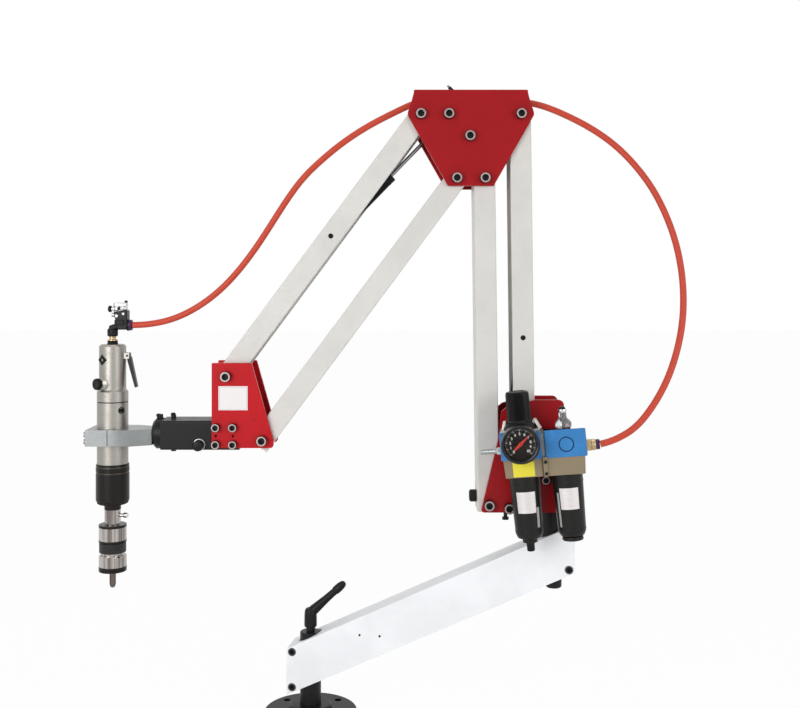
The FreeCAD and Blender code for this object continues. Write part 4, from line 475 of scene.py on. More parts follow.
# Arm bars: pairs of white coated steel sections. The outer ones are open channels, the inner ones
# closed boxes, and all are bored at both ends for their bushes.
white_coat = coat("warm_white_coat", (0.68, 0.665, 0.635), 0.36, 0.00002, 0.10)
for node in ("right_bar", "left_bar", "upper_bar", "lower_bar"):
    shown(node, 0.0, white_coat, node, "white_coat")
rubber = moulded("black_rubber", (0.014, 0.014, 0.014), 0.65, 300, 0.0001)
shown("bar_buffer", 0.5, rubber, "left_bar", "rubber")

# Gas springs: a black painted tube and a ground rod for each pair of bars, with an eye at each
# end that turns on a pivot screw. A dark collar closes the tube round its rod.
ARM_Y = -66.4
spring_black = coat("gas_spring_paint", (0.006, 0.006, 0.006), 0.34, 0.00002, 0.1, 0.0, 0.12)
rod_steel = turned_metal("ground_rod", (0.30, 0.30, 0.30), 0.22, (1, 1, 8))
for node in ("right_spring_cylinder", "upper_spring_cylinder"):
    shown(node, 0.4, spring_black, node, "spring_cylinder")
for node in ("right_spring_rod", "upper_spring_rod"):
    shown(node, 0.3, rod_steel, node, "spring_rod")
for label, rod_eye, tube_eye in (
    ("right", (310.9, 361.6), (333.5, 621.5)), ("upper", (219.1, 963.9), (38.1, 777.9)),
):
    way = Vector((tube_eye[0] - rod_eye[0], 0, tube_eye[1] - rod_eye[1])).normalized()
    reach = math.dist(rod_eye, tube_eye)
    turn = way.to_track_quat("Z", "Y").to_matrix().to_4x4()
    tube_end = at(rod_eye[0], ARM_Y, rod_eye[1], turn) @ at(0, 0, reach)
    wiper = turned("wiper", (
        (7.0, -133.0), (9.3, -132.0), (9.3, -127.5), (8.9, -126.8), (8.9, -125.0), (9.3, -124.4),
        (9.3, -121.0),
    ), tube_end, 48, 0.3)
    finished(wiper, rubber, label + "_spring_cylinder", "spring_cylinder")

# Tool block and turning head: black anodised aluminium. The head's shaft turns in the block's
# bore, and the pull plunger on the block's front drops into the shaft to hold it at its stops.
anodised = turned_metal("black_anodised", (0.008, 0.008, 0.009), 0.38, (1, 1, 1), 0.15)
shown("tool_block", 1.0, anodised, "tool_bracket", "black_aluminium", 3)
shown("swivel_head", 1.6, anodised, "head", "black_aluminium", 4)
for x, body, foot in ((-209.5, "tool_bracket", 498.1), (-232.1, "head", 496.6)):
    knob = turned("dog_screw", (
        (2.8, -3.0), (2.8, 0.6), (3.8, 1.2), (3.9, 3.4), (3.1, 4.9), (1.3, 5.4),
    ), at(x, ARM_Y, foot), 32, 0.3)
    finished(knob, black_screw, body, "black_aluminium")
grip = turned("plunger_grip", (
    (4.2, 0.8), (5.4, 1.6), (5.0, 3.0), (6.6, 4.4), (8.1, 6.6), (8.4, 8.6), (7.4, 10.6), (4.6, 11.6),
), at(-164.8, -94.3, 456.5, FRONT), 48)
grip = modified(grip, "SUBSURF", levels=1, render_levels=1)
finished(grip, black_plastic, "lock_plunger", "black_plastic")
shown("lock_plunger", 0.0, steel, "lock_plunger", "black_plastic")
plated = turned_metal("plated_ring", (0.42, 0.44, 0.44), 0.3, (1, 1, 1))
seat = ringed("plunger_seat", 9.4, 7.6, -0.2, 1.6, at(-163.9, -94.3, 457.3, FRONT), 48, 0.5)
finished(seat, plated, "tool_bracket", "black_aluminium")

# Clamp: a milled aluminium bar split across the motor's axis. Four socket screws pull the cap to
# the bar, and the neck behind it is bolted to the turning head.
milled, shader, place = opened("milled_aluminium", Metallic=0.75)
cuts = place.stretched(1, 6, 90).noise(26, 3, 0.6)
stain = place.noise(30, 5, 0.65)
feed(shader, "Base Color", stain.band(0.35, 0.75).mix((0.27, 0.285, 0.285, 1), (0.22, 0.23, 0.23, 1)))
feed(shader, "Roughness", 0.34 + (cuts - 0.5) * 0.2)
bump(shader, cuts, 0.00004)
shown("clamp_bar", 0.5, milled, "head", "aluminium")
shown("clamp_cap", 0.4, milled, "head", "aluminium")

# Air motor: a satin nickel casing in two diameters with a groove. It has a black plug high on its
# left, a locating pin lower right, and lugs that carry the trigger.
MOTOR_X = -304.0
MOTOR = (MOTOR_X, ARM_Y)
motor_axis = at(MOTOR_X, ARM_Y, 0)


def round_motor(angle, radius, height, way=FRONT):
    """A place on the casing: the angle from its front, to the right, and a radius from its axis."""
    turn = Matrix.Rotation(math.radians(angle), 4, "Z")
    return at(MOTOR_X, ARM_Y, height) @ turn @ at(0, -radius, 0, way)


nickel_casing = turned_metal("satin_nickel", (0.36, 0.345, 0.315), 0.38, (1, 1, 45), 0.9, 0.00003)
shown("motor_casing", 0.4, nickel_casing, "head", "nickel_casing")
plug = turned("diamond_plug", (
    (9.2, -3.0), (9.2, 1.2), (7.8, 2.2), (4.6, 2.4), (3.6, 2.4), (3.6, 1.0),
), round_motor(-36, 19.4, 586.6), 4, 0.4)
finished(plug, black_plastic, "head", "black_plastic")
pin_place = round_motor(48, 23.6, 508.5)
rim = ringed("pin_rim", 5.6, 4.2, -2.5, 0.35, pin_place, 48, 0.3)
finished(rim, black_plastic, "head", "nickel_casing")
pin = turned("pin", ((4.3, -3.0), (4.3, 0.0), (3.4, 0.3), (1.5, 0.3)), pin_place, 32)
finished(pin, black_plastic, "head", "black_screw")
# Painted shade: a blackened ring fills the casing's groove just under its surface, so the groove shows as a
# dark line
groove = ringed("casing_groove_painted_shade", 23.7, 22.6, 520.05, 521.55, motor_axis, 96, 0.1)
finished(groove, blackened, "head", "nickel_casing")

# Reversing knob: a black ribbed knob on a stem in a turned conical boss, at the casing's left
knob_place = round_motor(-40, 0, 549.5)
boss = turned("reversing_boss", ((12.6, 15.5), (12.2, 18.6), (7.4, 23.2), (5.4, 23.9)), knob_place, 64, 0.4)
finished(boss, nickel_casing, "head", "nickel_casing")
knob = turned("reversing_knob_ribbed", (
    (6.8, 24.2), (8.6, 25.0), (9.0, 26.0), (9.0, 30.0), (8.4, 31.4), (6.6, 32.2), (5.6, 31.8), (2.0, 31.6),
), UP, 96)
resized(knob, lambda v: away(v) > 8.5 and on_rib(v, 3.75, 4, 2), (0.93, 0.93))
finished(set_down(knob, knob_place), black_plastic, "reversing_knob", "black_plastic")
stem = turned("reversing_stem", ((3.9, 12.0), (3.9, 25.0)), knob_place, 32, 0.3)
finished(stem, black_screw, "reversing_knob", "black_steel", "reversing_knob")

# Trigger: a black lever on a cross pin high on the casing's right, which is squeezed to run the motor
lever_black = coat("trigger_black", (0.008, 0.008, 0.009), 0.3, 0.00002, 0.1)
shown("trigger_lever", 0.8, lever_black, "trigger_lever", "black_steel", 3)

# Air inlet: a black collar and a brass neck screwed into the casing's top, then a black elbow with
# its valve block, chromed knobs and a push-in port for the hose.
brass = turned_metal("turned_brass", (0.52, 0.38, 0.21), 0.32, (1, 1, 20))
INLET_Z = 610.1
neck = turned("inlet_neck", (
    (7.4, 5.6), (7.4, 7.4), (5.2, 8.0), (4.8, 10.0), (5.4, 11.0), (5.4, 12.1),
), at(MOTOR_X, ARM_Y, INLET_Z), 48, 0.2)
finished(neck, brass, "head", "brass", "air_inlet")
collar = turned("inlet_collar", (
    (7.6, 0.1), (8.4, 0.7), (8.4, 2.2), (7.5, 2.8), (7.5, 3.4), (8.4, 4.0), (8.4, 5.0), (7.8, 5.6),
), at(MOTOR_X, ARM_Y, INLET_Z), 48, 0.2)
finished(collar, black_plastic, "head", "black_plastic")

ELBOW_Z = 622.25
elbow_foot = turned("elbow_foot", (
    (6.6, 0.1), (7.8, 1.0), (8.2, 4.0), (8.2, 10.5), (7.0, 12.5),
), at(MOTOR_X, ARM_Y, ELBOW_Z), 48, 0.3)
finished(elbow_foot, black_plastic, "head", "black_plastic", "air_elbow")
bend = block("elbow_bend", (-308.5, ARM_Y - 7.5, 631.0), (-290.0, ARM_Y + 7.5, 640.0), 2.4, 4)
shifted(bend, lambda v: v.x > -298, (0, 0, 4.5))
finished(bend, black_plastic, "head", "black_plastic")
valve = block("valve_block", (-302.0, ARM_Y - 10.0, 633.0), (-279.4, ARM_Y + 10.0, 663.5), 2.0, 3)
shifted(valve, lambda v: v.z < 640 and v.x < -295, (7.0, 0, 0))
shifted(valve, lambda v: v.z > 656 and v.x < -295, (1.5, 0, -2.0))
finished(valve, anodised, "head", "black_plastic")
rib = block("valve_rib", (-298.5, ARM_Y - 12.2, 640.0), (-284.0, ARM_Y - 9.0, 648.5), 1.2, 3)
finished(rib, black_plastic, "head", "black_plastic")
chrome = turned_metal("chrome_fitting", (0.66, 0.66, 0.67), 0.10, (1, 1, 1))
FLOW = (-291.5, ARM_Y)
dial = turned("flow_knob", (
    (9.6, 663.2), (11.2, 664.4), (11.3, 667.0), (10.4, 667.8), (10.4, 668.8), (11.3, 669.6), (11.3, 673.4),
    (10.2, 675.0), (7.0, 675.6),
), at(*FLOW, 0), 64, 0.3)
resized(dial, lambda v: away(v, FLOW) > 11.0 and on_rib(v, 5.625, 4, 1, FLOW), (0.95, 0.95), FLOW)
finished(dial, chrome, "head", "black_plastic")
for name, steps, x, y, z, way, finish in (
    ("flow_index", ((2.3, -1.0), (2.3, 1.2), (1.6, 1.8)), -291.5, -11.0, 666.5, FRONT, black_plastic),
    ("flow_tip", ((2.4, 0), (2.6, 2.2), (1.6, 3.4)), -283.0, 0, 675.0, UP, black_screw),
    ("side_stem", ((2.9, -6.0), (2.9, 0), (4.0, 0.6), (4.0, 2.6), (2.8, 3.2), (2.8, 5.2)),
     -300.5, 0, 665.2, LEFT, chrome),
    ("side_cap", ((3.4, 4.8), (5.0, 5.6), (5.2, 7.2), (5.0, 9.2), (3.2, 10.4)),
     -300.5, 0, 665.2, LEFT, black_plastic),
    ("side_nipple", ((3.8, -3.0), (3.8, 1.6), (3.0, 2.2), (3.0, 4.4), (2.0, 5.0)),
     -300.0, -3.0, 656.0, LEFT, plated),
    ("valve_screw", ((2.7, -1.0), (2.7, 0.9), (2.1, 1.3), (1.2, 1.3), (1.2, 0.4)),
     -295.5, -10.0, 654.6, FRONT, plated),
    ("valve_screw", ((2.3, -1.0), (2.3, 0.9), (1.8, 1.2), (1.0, 1.2), (1.0, 0.4)),
     -285.0, -10.0, 657.8, FRONT, plated),
    ("port_body", ((8.6, -1.0), (9.0, 0), (9.0, 2.0), (8.2, 2.6)), -280.4, 0, 640.0, RIGHT, black_plastic),
):
    finished(turned(name, steps, at(x, ARM_Y + y, z, way), 40, 0.25), finish, "head", "black_plastic")
release_ring = moulded("release_ring", (0.05, 0.022, 0.075), 0.35)
ring = ringed("port_release_ring", 8.4, 5.15, 2.4, 6.9, at(-280.4, ARM_Y, 640.0, RIGHT), 48, 0.6)
finished(ring, release_ring, "head", "black_plastic")

# Gear sleeve: the black sleeve round the motor's gears, with two turned rings near its top whose dull bronze
# colour is a painted highlight
sleeve_black = turned_metal("sleeve_black", (0.011, 0.010, 0.009), 0.34, (1, 1, 30), 0.3)
# Painted highlight: the two rings get a dull bronze brown so that they show as lit bands on the black sleeve
ring_highlight_colour = turned_metal("gear_ring_painted_highlight", (0.075, 0.062, 0.052), 0.36, (1, 1, 30))
case = copied("gear_case", 0.7, 3)
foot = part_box("gear_case")[0][2] / MM
resized(case, lambda v: v.z < foot + 2.5 and 14.0 < away(v, MOTOR) < 22.0, (1.2, 1.2), MOTOR)
finished(case, sleeve_black, "head", "black_steel", "gear_case")
for height in (418.4, 409.4):
    ring = ringed("gear_ring", 25.2, 23.8, 0.2, 2.8, at(MOTOR_X, ARM_Y, height), 96, 0.3)
    finished(ring, ring_highlight_colour, "head", "black_steel")

# Chuck: a quick-change tap holder of nickelled steel with dark rings. The knurled sleeve slides
# down to free the tap's adapter, and an oil nipple stands out of the neck's right.
chuck_nickel, shader, place = opened("nickel_with_painted_reflection_bands", Metallic=1.0)
tool_lines = place.stretched(1, 1, 40).noise(60, 3, 0.7)
# Painted reflection: upright dark and pale bands round the chuck, stretched along its axis, stand in for the
# studio's reflections in the nickel
painted_reflection_streaks = place.stretched(1, 1, 0.03).noise(150, 2, 0.5).band(0.36, 0.62)
pale = tool_lines.band(0.3, 0.7).mix((0.46, 0.42, 0.40, 1), (0.56, 0.53, 0.51, 1))
feed(shader, "Base Color", painted_reflection_streaks.mix((0.20, 0.175, 0.165, 1), pale))
feed(shader, "Roughness", 0.17 + (tool_lines - 0.5) * 0.1)
bump(shader, tool_lines, 0.00001)
shown("chuck_body", 0.5, chuck_nickel, "chuck", "steel")
dark_ring = turned_metal("dark_chuck_ring", (0.020, 0.019, 0.018), 0.28, (1, 1, 30), 0.7)
for name, low, high, outer, inner in (
    ("chuck_shoulder", 325.4, 329.6, 21.4, 12.4), ("chuck_upper_ring", 302.2, 306.0, 21.45, 17.1),
    ("chuck_foot_ring", 256.9, 265.0, 21.45, 8.0), ("neck_ring", 352.6, 361.0, 12.8, 8.4),
    ("core_ring", 278.4, 286.4, 16.9, 12.0),
):
    ring = ringed(name, outer, inner, low, high, motor_axis, 80, 0.7)
    finished(ring, dark_ring, "chuck", "black_steel")
nipple = turned("nipple_ring", (
    (2.0, 0), (2.4, 4.0), (1.9, 5.0), (1.9, 6.4), (3.4, 7.6), (4.2, 9.6), (3.6, 11.8), (1.6, 12.8),
), at(MOTOR_X + 12.0, ARM_Y, 343.3, RIGHT), 32)
finished(modified(nipple, "SUBSURF", levels=1, render_levels=1), chrome, "chuck", "steel")
material, shader, place = opened("knurled_black", Metallic=0.3)
x, y, z = place.parts()
KNURL_PITCH = 0.0012
turn = x.math("ARCTAN2", y - ARM_Y * MM, x - MOTOR_X * MM)
round_place = turn * (0.0206 / KNURL_PITCH)
up = z * (1 / KNURL_PITCH)
first = (round_place + up).math("SINE", (round_place + up) * math.pi)
second = (round_place - up).math("SINE", (round_place - up) * math.pi)
knurl = first.math("MAXIMUM", first, second)
feed(shader, "Base Color", knurl.band(0.2, 1.0).mix((0.008, 0.008, 0.008, 1), (0.022, 0.021, 0.02, 1)))
feed(shader, "Roughness", 0.5 - knurl * 0.1)
bump(shader, knurl, 0.0003)
shown("chuck_sleeve", 0.8, material, "chuck_sleeve", "black_sleeve")

# Tap: ground high-speed steel with three straight flutes and a short lead at its end
tap_steel = turned_metal("tap_steel", (0.16, 0.13, 0.115), 0.3, (1, 1, 200), 1.0, 0.00006)
tap = turned("tap_fluted", (
    (3.0, 231.0), (4.4, 234.4), (4.9, 236.5), (4.9, 252.0), (4.8, 254.0), (4.8, 266.0),
), motor_axis, 72)
resized(
    tap, lambda v: v.z < 252.5 and (math.degrees(math.atan2(v.y - ARM_Y, v.x - MOTOR_X)) + 15) % 120 < 31,
    (0.72, 0.72), MOTOR,
)
finished(tap, tap_steel, "chuck", "steel", "tap")

# Air preparation set: filter with regulator at the left, lubricator at the right. Both are tan
# coated castings with blue covers, joined by a clip, and they hang a little turned and tilted.
service_turn = Matrix.Rotation(math.radians(-8), 4, "Z") @ Matrix.Rotation(math.radians(-5.2), 4, "Y")
service = Matrix.Translation((0.357, -0.1434, 0.460)) @ service_turn
FILTER_X = -31.5
LUBRICATOR_X = 31.5
UNIT_HALF = 29.7
COVER_TOP = 28.8
TOP_SLOPE = (0, 0, -6.4)
UNIT_FOOT = -37.8


def on_service(piece):
    """The piece moved from the set's own upright place to where the set hangs."""
    return set_down(piece, service)


def hang(piece, material, slot, *nodes):
    """A piece of the set hung in its place and finished."""
    return finished(on_service(piece), material, "lower_bracket", slot, *nodes)


tan_coat = coat("tan_coat", (0.27, 0.215, 0.135), 0.38, 0.00004, 0.12, 0.2)
blue_cover = moulded("blue_cover", (0.045, 0.22, 0.52), 0.38, 500, 0.00002)
hung = service.inverted()
for node, side in (("filter_body", -1), ("lubricator_body", 1)):
    casting = copied(node, 0.9, 3)
    for test, by in (
        (lambda v: v.z < -30 and v.x * side > 50, (-3.0 * side, 0, 0)),
        (lambda v: side > 0 and v.z > 22 and v.y > 5, TOP_SLOPE),
    ):
        shifted(casting, lambda v: test(hung @ (v * MM) / MM), service.to_3x3() @ Vector(by))
    finished(casting, tan_coat, "lower_bracket", "cast_body", node)
for name, low, high in (("filter_cover", -62.4, -2.3), ("lubricator_cover", 2.6, 63.4)):
    cover = block(name, (low, -26.0, -12.0), (high, 26.0, COVER_TOP), 2.0, 4)
    if low > 0:
        shifted(cover, lambda v: v.z > 20 and v.y > 5, TOP_SLOPE)
    picked(cover, lambda centre, normal: normal.z < -0.9, "FACE")
    bpy.ops.mesh.inset(thickness=0.0012)
    bpy.ops.mesh.extrude_region_move(TRANSFORM_OT_translate={"value": (0, 0, 0.004)})
    bpy.ops.object.mode_set(mode="OBJECT")
    hang(cover, blue_cover, "cast_body")
ring_dark = moulded("moulded_ring", (0.012, 0.05, 0.13), 0.5)
ring = ringed("cover_ring", 11.3, 9.5, 25.4, 26.5, at(LUBRICATOR_X + 2.6, 0, 7.0, FRONT), 96, 0.2)
hang(ring, ring_dark, "cast_body")

# Joint clip between the castings: a tan cast clamp with its two blackened screws, and the grey
# seal that fills the gap behind it.
clip = block("joint_clip", (-2.0, -28.4, -38.0), (4.6, -24.6, -9.0), 0.9, 3)
hang(clip, tan_coat, "cast_body")
for z in (-16.5, -33.5):
    screw = turned("clip_screw", (
        (2.0, 28.0), (2.3, 28.6), (2.3, 30.2), (1.9, 30.6), (1.2, 30.6), (1.2, 29.6),
    ), at(1.8, 0, z, FRONT), 32, 0.2)
    hang(screw, black_screw, "black_screw")
filler = block("joint_seal", (-2.2, -23.5, -30.0), (2.2, 23.5, 24.5), 0.6)
hang(filler, moulded("grey_joint", (0.30, 0.29, 0.27), 0.5), "cast_body")

# Bonnet and regulator knob: black moulding with fine ribs, a rounded crown and a flared skirt.
# The pressed steel bracket under it clamps the regulator to the plate behind.
KNOB_FOOT = 41.5
KNOB_TOP = 87.2
bonnet = turned("bonnet_skirt", (
    (25.0, 28.9), (25.6, 30.0), (24.4, 34.0), (21.4, 38.2), (19.2, 41.2),
), at(FILTER_X, 0, 0), 96, 0.3)
hang(bonnet, black_plastic, "black_plastic")
knob = turned("knob_ribbed", (
    (17.2, KNOB_FOOT), (19.0, KNOB_FOOT + 0.4), (18.6, KNOB_FOOT + 3), (17.8, KNOB_FOOT + 9),
    (17.5, KNOB_TOP - 9), (17.4, KNOB_TOP - 5), (16.8, KNOB_TOP - 2.2), (15.2, KNOB_TOP - 0.6),
    (12.6, KNOB_TOP), (12.0, KNOB_TOP), (11.7, KNOB_TOP - 0.8), (4.0, KNOB_TOP - 0.8),
), UP, 180)
resized(
    knob, lambda v: away(v) > 16.0 and KNOB_FOOT + 1 < v.z < KNOB_TOP - 1.5 and on_rib(v, 2, 2, 1),
    (0.955, 0.955),
)
set_down(knob, at(FILTER_X, 0, 0))
knob_black = moulded("knob_black", (0.013, 0.013, 0.014), 0.36)
finished(on_service(knob), knob_black, "regulator_knob", "knob_plastic", "regulator_knob", angle=20)
zinc = turned_metal("zinc_plated_steel", (0.50, 0.47, 0.44), 0.4, (1, 1, 1), 0.8)
plate = block("regulator_bracket", (FILTER_X - 29.0, -20.0, 28.7), (FILTER_X + 29.0, 25.0, 31.2), 0.7)
tabs = []
for low, high, by in (
    ((-59.0, -6.0, 30.0), (-54.0, 10.0, 44.0), 3.0), ((-4.6, -8.0, 30.0), (0.6, 10.0, 45.0), -6.4),
):
    tab = block("bracket_tab", low, high, 0.7)
    picked(tab, lambda v: v.z > 40)
    bpy.ops.transform.resize(value=(0.9, 0.7, 1))
    bpy.ops.transform.translate(value=(by * MM, 0, 0))
    bpy.ops.object.mode_set(mode="OBJECT")
    tabs.append(tab)
tab_nut = turned(
    "tab_nut", ((4.6, 0), (4.6, 3.4), (3.9, 4.0), (2.0, 4.0)), at(-12.4, 0.0, 39.0, RIGHT), 6, 0.2,
)
tabs.append(tab_nut)
hang(joined("regulator_bracket", plate, *tabs), zinc, "steel")

# Bowls: black coated metal guards with sight windows and blank foil labels. Each twists off its
# casting, and the filter's ends in its drain.
bowl_black = coat("bowl_coat", (0.012, 0.011, 0.0105), 0.36, 0.00005, 0.2, 0.0, 0.2)
for node in ("filter_bowl", "lubricator_bowl"):
    shown(node, 0.8, bowl_black, "lower_bracket", "bowl", 3)


def wrapped(name, axis_x, low, high, angle, half, thickness, step=2.5):
    """A thin patch on a round wall: its low and high ends, its middle's angle and half its spread."""
    patch = turned(name, (low, high), UP, round(360 / step))
    middle = math.radians(angle - 90)
    picked(patch, lambda centre, normal: abs(normal.z) > 0.7 or abs(math.remainder(
        math.atan2(centre.y, centre.x) - middle, math.tau)) > math.radians(half), "FACE")
    bpy.ops.mesh.delete(type="FACE")
    bpy.ops.object.mode_set(mode="OBJECT")
    modified(patch, "SOLIDIFY", thickness=thickness * MM, offset=1.0)
    bevelled(patch, min(0.25, thickness / 3), 2)
    set_down(patch, at(axis_x, 0, 0))
    return on_service(patch)


BOWL_TOP = UNIT_FOOT - 0.3
BOWL_LENGTH = 99.7
BOWL_FOOT = BOWL_TOP - BOWL_LENGTH + 14.0


def wall(height):
    """The bowl's radius at a height in the set."""
    return 23.0 - 2.4 * (BOWL_TOP - height) / (BOWL_TOP - BOWL_FOOT)


foil, shader, place = opened("blank_foil", Metallic=0.55)
grain = place.stretched(1, 1, 30).noise(90, 3, 0.6)
feed(shader, "Base Color", grain.band(0.3, 0.7).mix((0.66, 0.63, 0.62, 1), (0.80, 0.76, 0.75, 1)))
feed(shader, "Roughness", 0.35 + (grain - 0.5) * 0.2)
bump(shader, grain, 0.00001)
window_clear = moulded("window_plastic", (0.42, 0.43, 0.42), 0.18)
for label, axis_x, top, foot, window_angle, window_top, window_foot in (
    ("filter", FILTER_X, -60.0, -91.5, 46, -84.0, -114.0),
    ("lubricator", LUBRICATOR_X, -58.0, -89.5, -47, -65.0, -116.0),
):
    piece = wrapped(label + "_label", axis_x, (wall(foot) + 0.02, foot), (wall(top) + 0.02, top), 0, 38, 0.14)
    finished(piece, foil, "lower_bracket", "aluminium")
    piece = wrapped(
        label + "_window", axis_x, (wall(window_foot) - 0.05, window_foot),
        (wall(window_top) - 0.05, window_top), window_angle, 5.5, 0.30,
    )
    finished(piece, window_clear, "lower_bracket", "dome")
    for low, high in ((BOWL_TOP - 13.0, BOWL_TOP - 11.0), (BOWL_FOOT + 3.0, BOWL_FOOT + 4.6)):
        name = label + "_bowl_bead"
        band = ringed(name, wall(low) + 0.5, wall(low) - 1.0, low, high, at(axis_x, 0, 0), 96, 0.5)
        hang(band, bowl_black, "bowl")
rim = turned("lubricator_rim", (
    (15.4, BOWL_FOOT - 8.6), (15.8, BOWL_FOOT - 13.2), (14.6, BOWL_FOOT - 14.2),
), at(LUBRICATOR_X, 0, 0), 72, 0.4)
hang(rim, bowl_black, "bowl")
DRAIN_TOP = BOWL_TOP - BOWL_LENGTH - 0.3
drain = turned("drain_ribbed", (
    (4.4, -13.5), (5.7, -12.8), (5.9, -8.0), (6.1, -3.0), (6.6, -0.2),
), UP, 72)
resized(drain, lambda v: v.z < -2 and on_rib(v, 5, 4, 2), (0.92, 0.92))
set_down(drain, at(FILTER_X, 0, DRAIN_TOP))
finished(on_service(drain), black_plastic, "drain_valve", "drain", "drain_valve")
yellow = coat("yellow_label_film", (0.82, 0.72, 0.06), 0.4, 0.00001, 0.05)
label = block("yellow_blank_label", (FILTER_X - 15.0, -25.35, -36.6), (FILTER_X + 16.6, -24.8, -15.0), 0.12)
hang(label, yellow, "cast_body")

# Gauge: a black drum with a gloss bezel, a black dial with plain white figures, a red needle on
# its pin and a flat glass.
gauge_place = at(FILTER_X, 0, 15.0, FRONT)
DIAL = 49.0
LAST_TICK = 40
LAST_FIGURE = 10
FIGURE_RADIUS = 14.9


def dial_angle(share):
    """The angle on the dial for a share of its whole sweep."""
    return math.radians(225 - 270 * share)


bezel_black = coat("bezel_black", (0.006, 0.006, 0.006), 0.14, 0.000004, 0.05, 0.15, 0.3)
shown("gauge_case", 0.8, bezel_black, "lower_bracket", "black_plastic", 3)
bezel = ringed("gauge_bezel", 28.3, 23.6, 50.0, 57.4, gauge_place, 128, 1.6)
hang(bezel, bezel_black, "black_plastic")
dial_black = moulded("dial_black", (0.009, 0.007, 0.006), 0.6, 800, 0.00001, 0.05)
face = turned("gauge_dial", ((24.0, DIAL - 0.8), (24.0, DIAL + 0.35)), gauge_place, 96, 0.1)
hang(face, dial_black, "black_plastic")
dial_white = moulded("dial_white", (0.78, 0.76, 0.72), 0.5, 800, 0.00001)
marks = []
for i in range(LAST_TICK + 1):
    inner, half = (18.8, 0.3) if i % 4 == 0 else (20.4, 0.16)
    tick = block("tick", (inner, -half, DIAL + 0.36), (21.8, half, DIAL + 0.46), 0.02, 1)
    turn = Matrix.Rotation(dial_angle(i / LAST_TICK), 4, "Z")
    marks.append(set_down(tick, gauge_place @ turn))
for i in range(LAST_FIGURE + 1):
    angle = dial_angle(i / LAST_FIGURE)
    bpy.ops.object.select_all(action="DESELECT")
    bpy.ops.object.text_add()
    figure = bpy.context.object
    figure.data.body = str(i)
    figure.data.size = 5.4 * MM
    figure.data.extrude = 0.05 * MM
    figure.data.align_x = "CENTER"
    figure.data.align_y = "CENTER"
    figure.data.offset = 0.00012
    bpy.ops.object.convert(target="MESH")
    spot = at(FIGURE_RADIUS * math.cos(angle), FIGURE_RADIUS * math.sin(angle), DIAL + 0.42)
    marks.append(set_down(bpy.context.object, gauge_place @ spot))
hang(joined("gauge_marks", *marks), dial_white, "dome")
needle_red = coat("needle_red", (0.62, 0.035, 0.015), 0.35, 0.000005, 0.0)
shown("gauge_needle", 0.1, needle_red, "gauge_needle", "needle")
glass, shader, place = opened("gauge_glass", Transmission_Weight=1.0, IOR=1.18, Base_Color=(1, 1, 1, 1))
feed(shader, "Roughness", place.noise(90, 4).band(0.6, 0.9) * 0.04 + 0.01)
pane = turned("gauge_glass_pane", ((23.8, 54.4), (23.8, 55.2)), gauge_place, 96, 0.1)
hang(pane, glass, "dome")

# Sight dome: clear plastic over the lubricator's drip tube, with a black seal below and a black
# adjusting cap in a plated collar on top.
dome_place = at(LUBRICATOR_X + 1.2, 0, 25.6)
clear, shader, place = opened("clear_plastic", Transmission_Weight=0.85, IOR=1.46)
haze = place.noise(120, 4, 0.6)
feed(shader, "Base Color", haze.band(0.4, 0.8).mix((0.90, 0.92, 0.92, 1), (0.70, 0.72, 0.71, 1)))
feed(shader, "Roughness", 0.05 + haze * 0.12)
seal = ringed("dome_seal", 10.2, 6.0, -2.0, 2.6, dome_place, 64, 0.5)
hang(seal, rubber, "rubber")
dome = turned("dome_clear", (
    (9.4, 2.4), (12.0, 3.7), (12.2, 8.3), (11.4, 11.3),
    (8.2, 14.8), (6.4, 16.6), (5.8, 19.1), (5.8, 26.2),
), dome_place, 64, 0.4)
hang(dome, clear, "dome", "sight_dome")
drip = turned("drip_tube", (
    (1.6, 2.6), (1.6, 9.8), (3.6, 10.5), (3.6, 17.4), (2.4, 18.5), (2.4, 25.9),
), dome_place, 32, 0.2)
hang(drip, dial_black, "dome")
neck = ringed("dome_collar", 6.6, 4.6, 25.1, 30.1, dome_place, 48, 0.5)
hang(neck, chrome, "nickel")
cap = turned("dome_cap", (
    (4.8, 26.2), (5.0, 30.3), (4.6, 32.7), (2.8, 34.0),
), dome_place, 40, 0.4)
hang(cap, black_plastic, "dome")

# Inlet and outlet: a nickelled barb with a knurled nut at the left for the supply's hose, and a
# brass push-in fitting at the right with a dark release ring.
BARB_X = FILTER_X - UNIT_HALF
BARB_PITCH = 4.2
nut = turned("barb_nut", (
    (4.4, -1.2), (5.2, -0.6), (5.4, 0.6), (5.4, 6.4), (4.9, 7.6), (4.0, 9.0),
), UP, 72)
resized(nut, lambda v: away(v) > 5.0 and not on_rib(v, 5, 2, 1), (0.93, 0.93))
set_down(nut, at(BARB_X, 0, 0, LEFT))
steps = [(4.2, 9.0)]
for i in range(5):
    foot = 11.0 + i * BARB_PITCH
    steps += [(3.1, foot), (3.1, foot + 1.0), (4.2, foot + 1.4), (4.1, foot + 2.4)]
steps += [(2.8, 32.0)]
stem = turned("barb_stem", steps, at(BARB_X, 0, 0, LEFT), 48)
hang(joined("barb", nut, stem), plated, "nickel", "inlet_barb")
out_place = at(LUBRICATOR_X + UNIT_HALF, 0, 0, RIGHT)
hexagon = turned("outlet_hex", ((9.2, 0.4), (9.4, 1.0), (9.4, 8.8), (8.8, 9.6)), out_place, 6, 0.5)
hang(hexagon, brass, "brass", "outlet_fitting")
sleeve = turned("outlet_sleeve", (
    (8.0, 9.4), (8.4, 10.0), (8.4, 14.2), (7.6, 15.2), (7.6, 16.0),
), out_place, 64, 0.2)
hang(sleeve, brass, "brass")
ring = ringed("outlet_ring", 7.5, 5.2, 15.8, 21.8, out_place, 64, 0.8)
hang(ring, release_ring, "black_plastic")
shown("service_bracket", 0.5, black_coat, "lower_bracket", "black_steel")

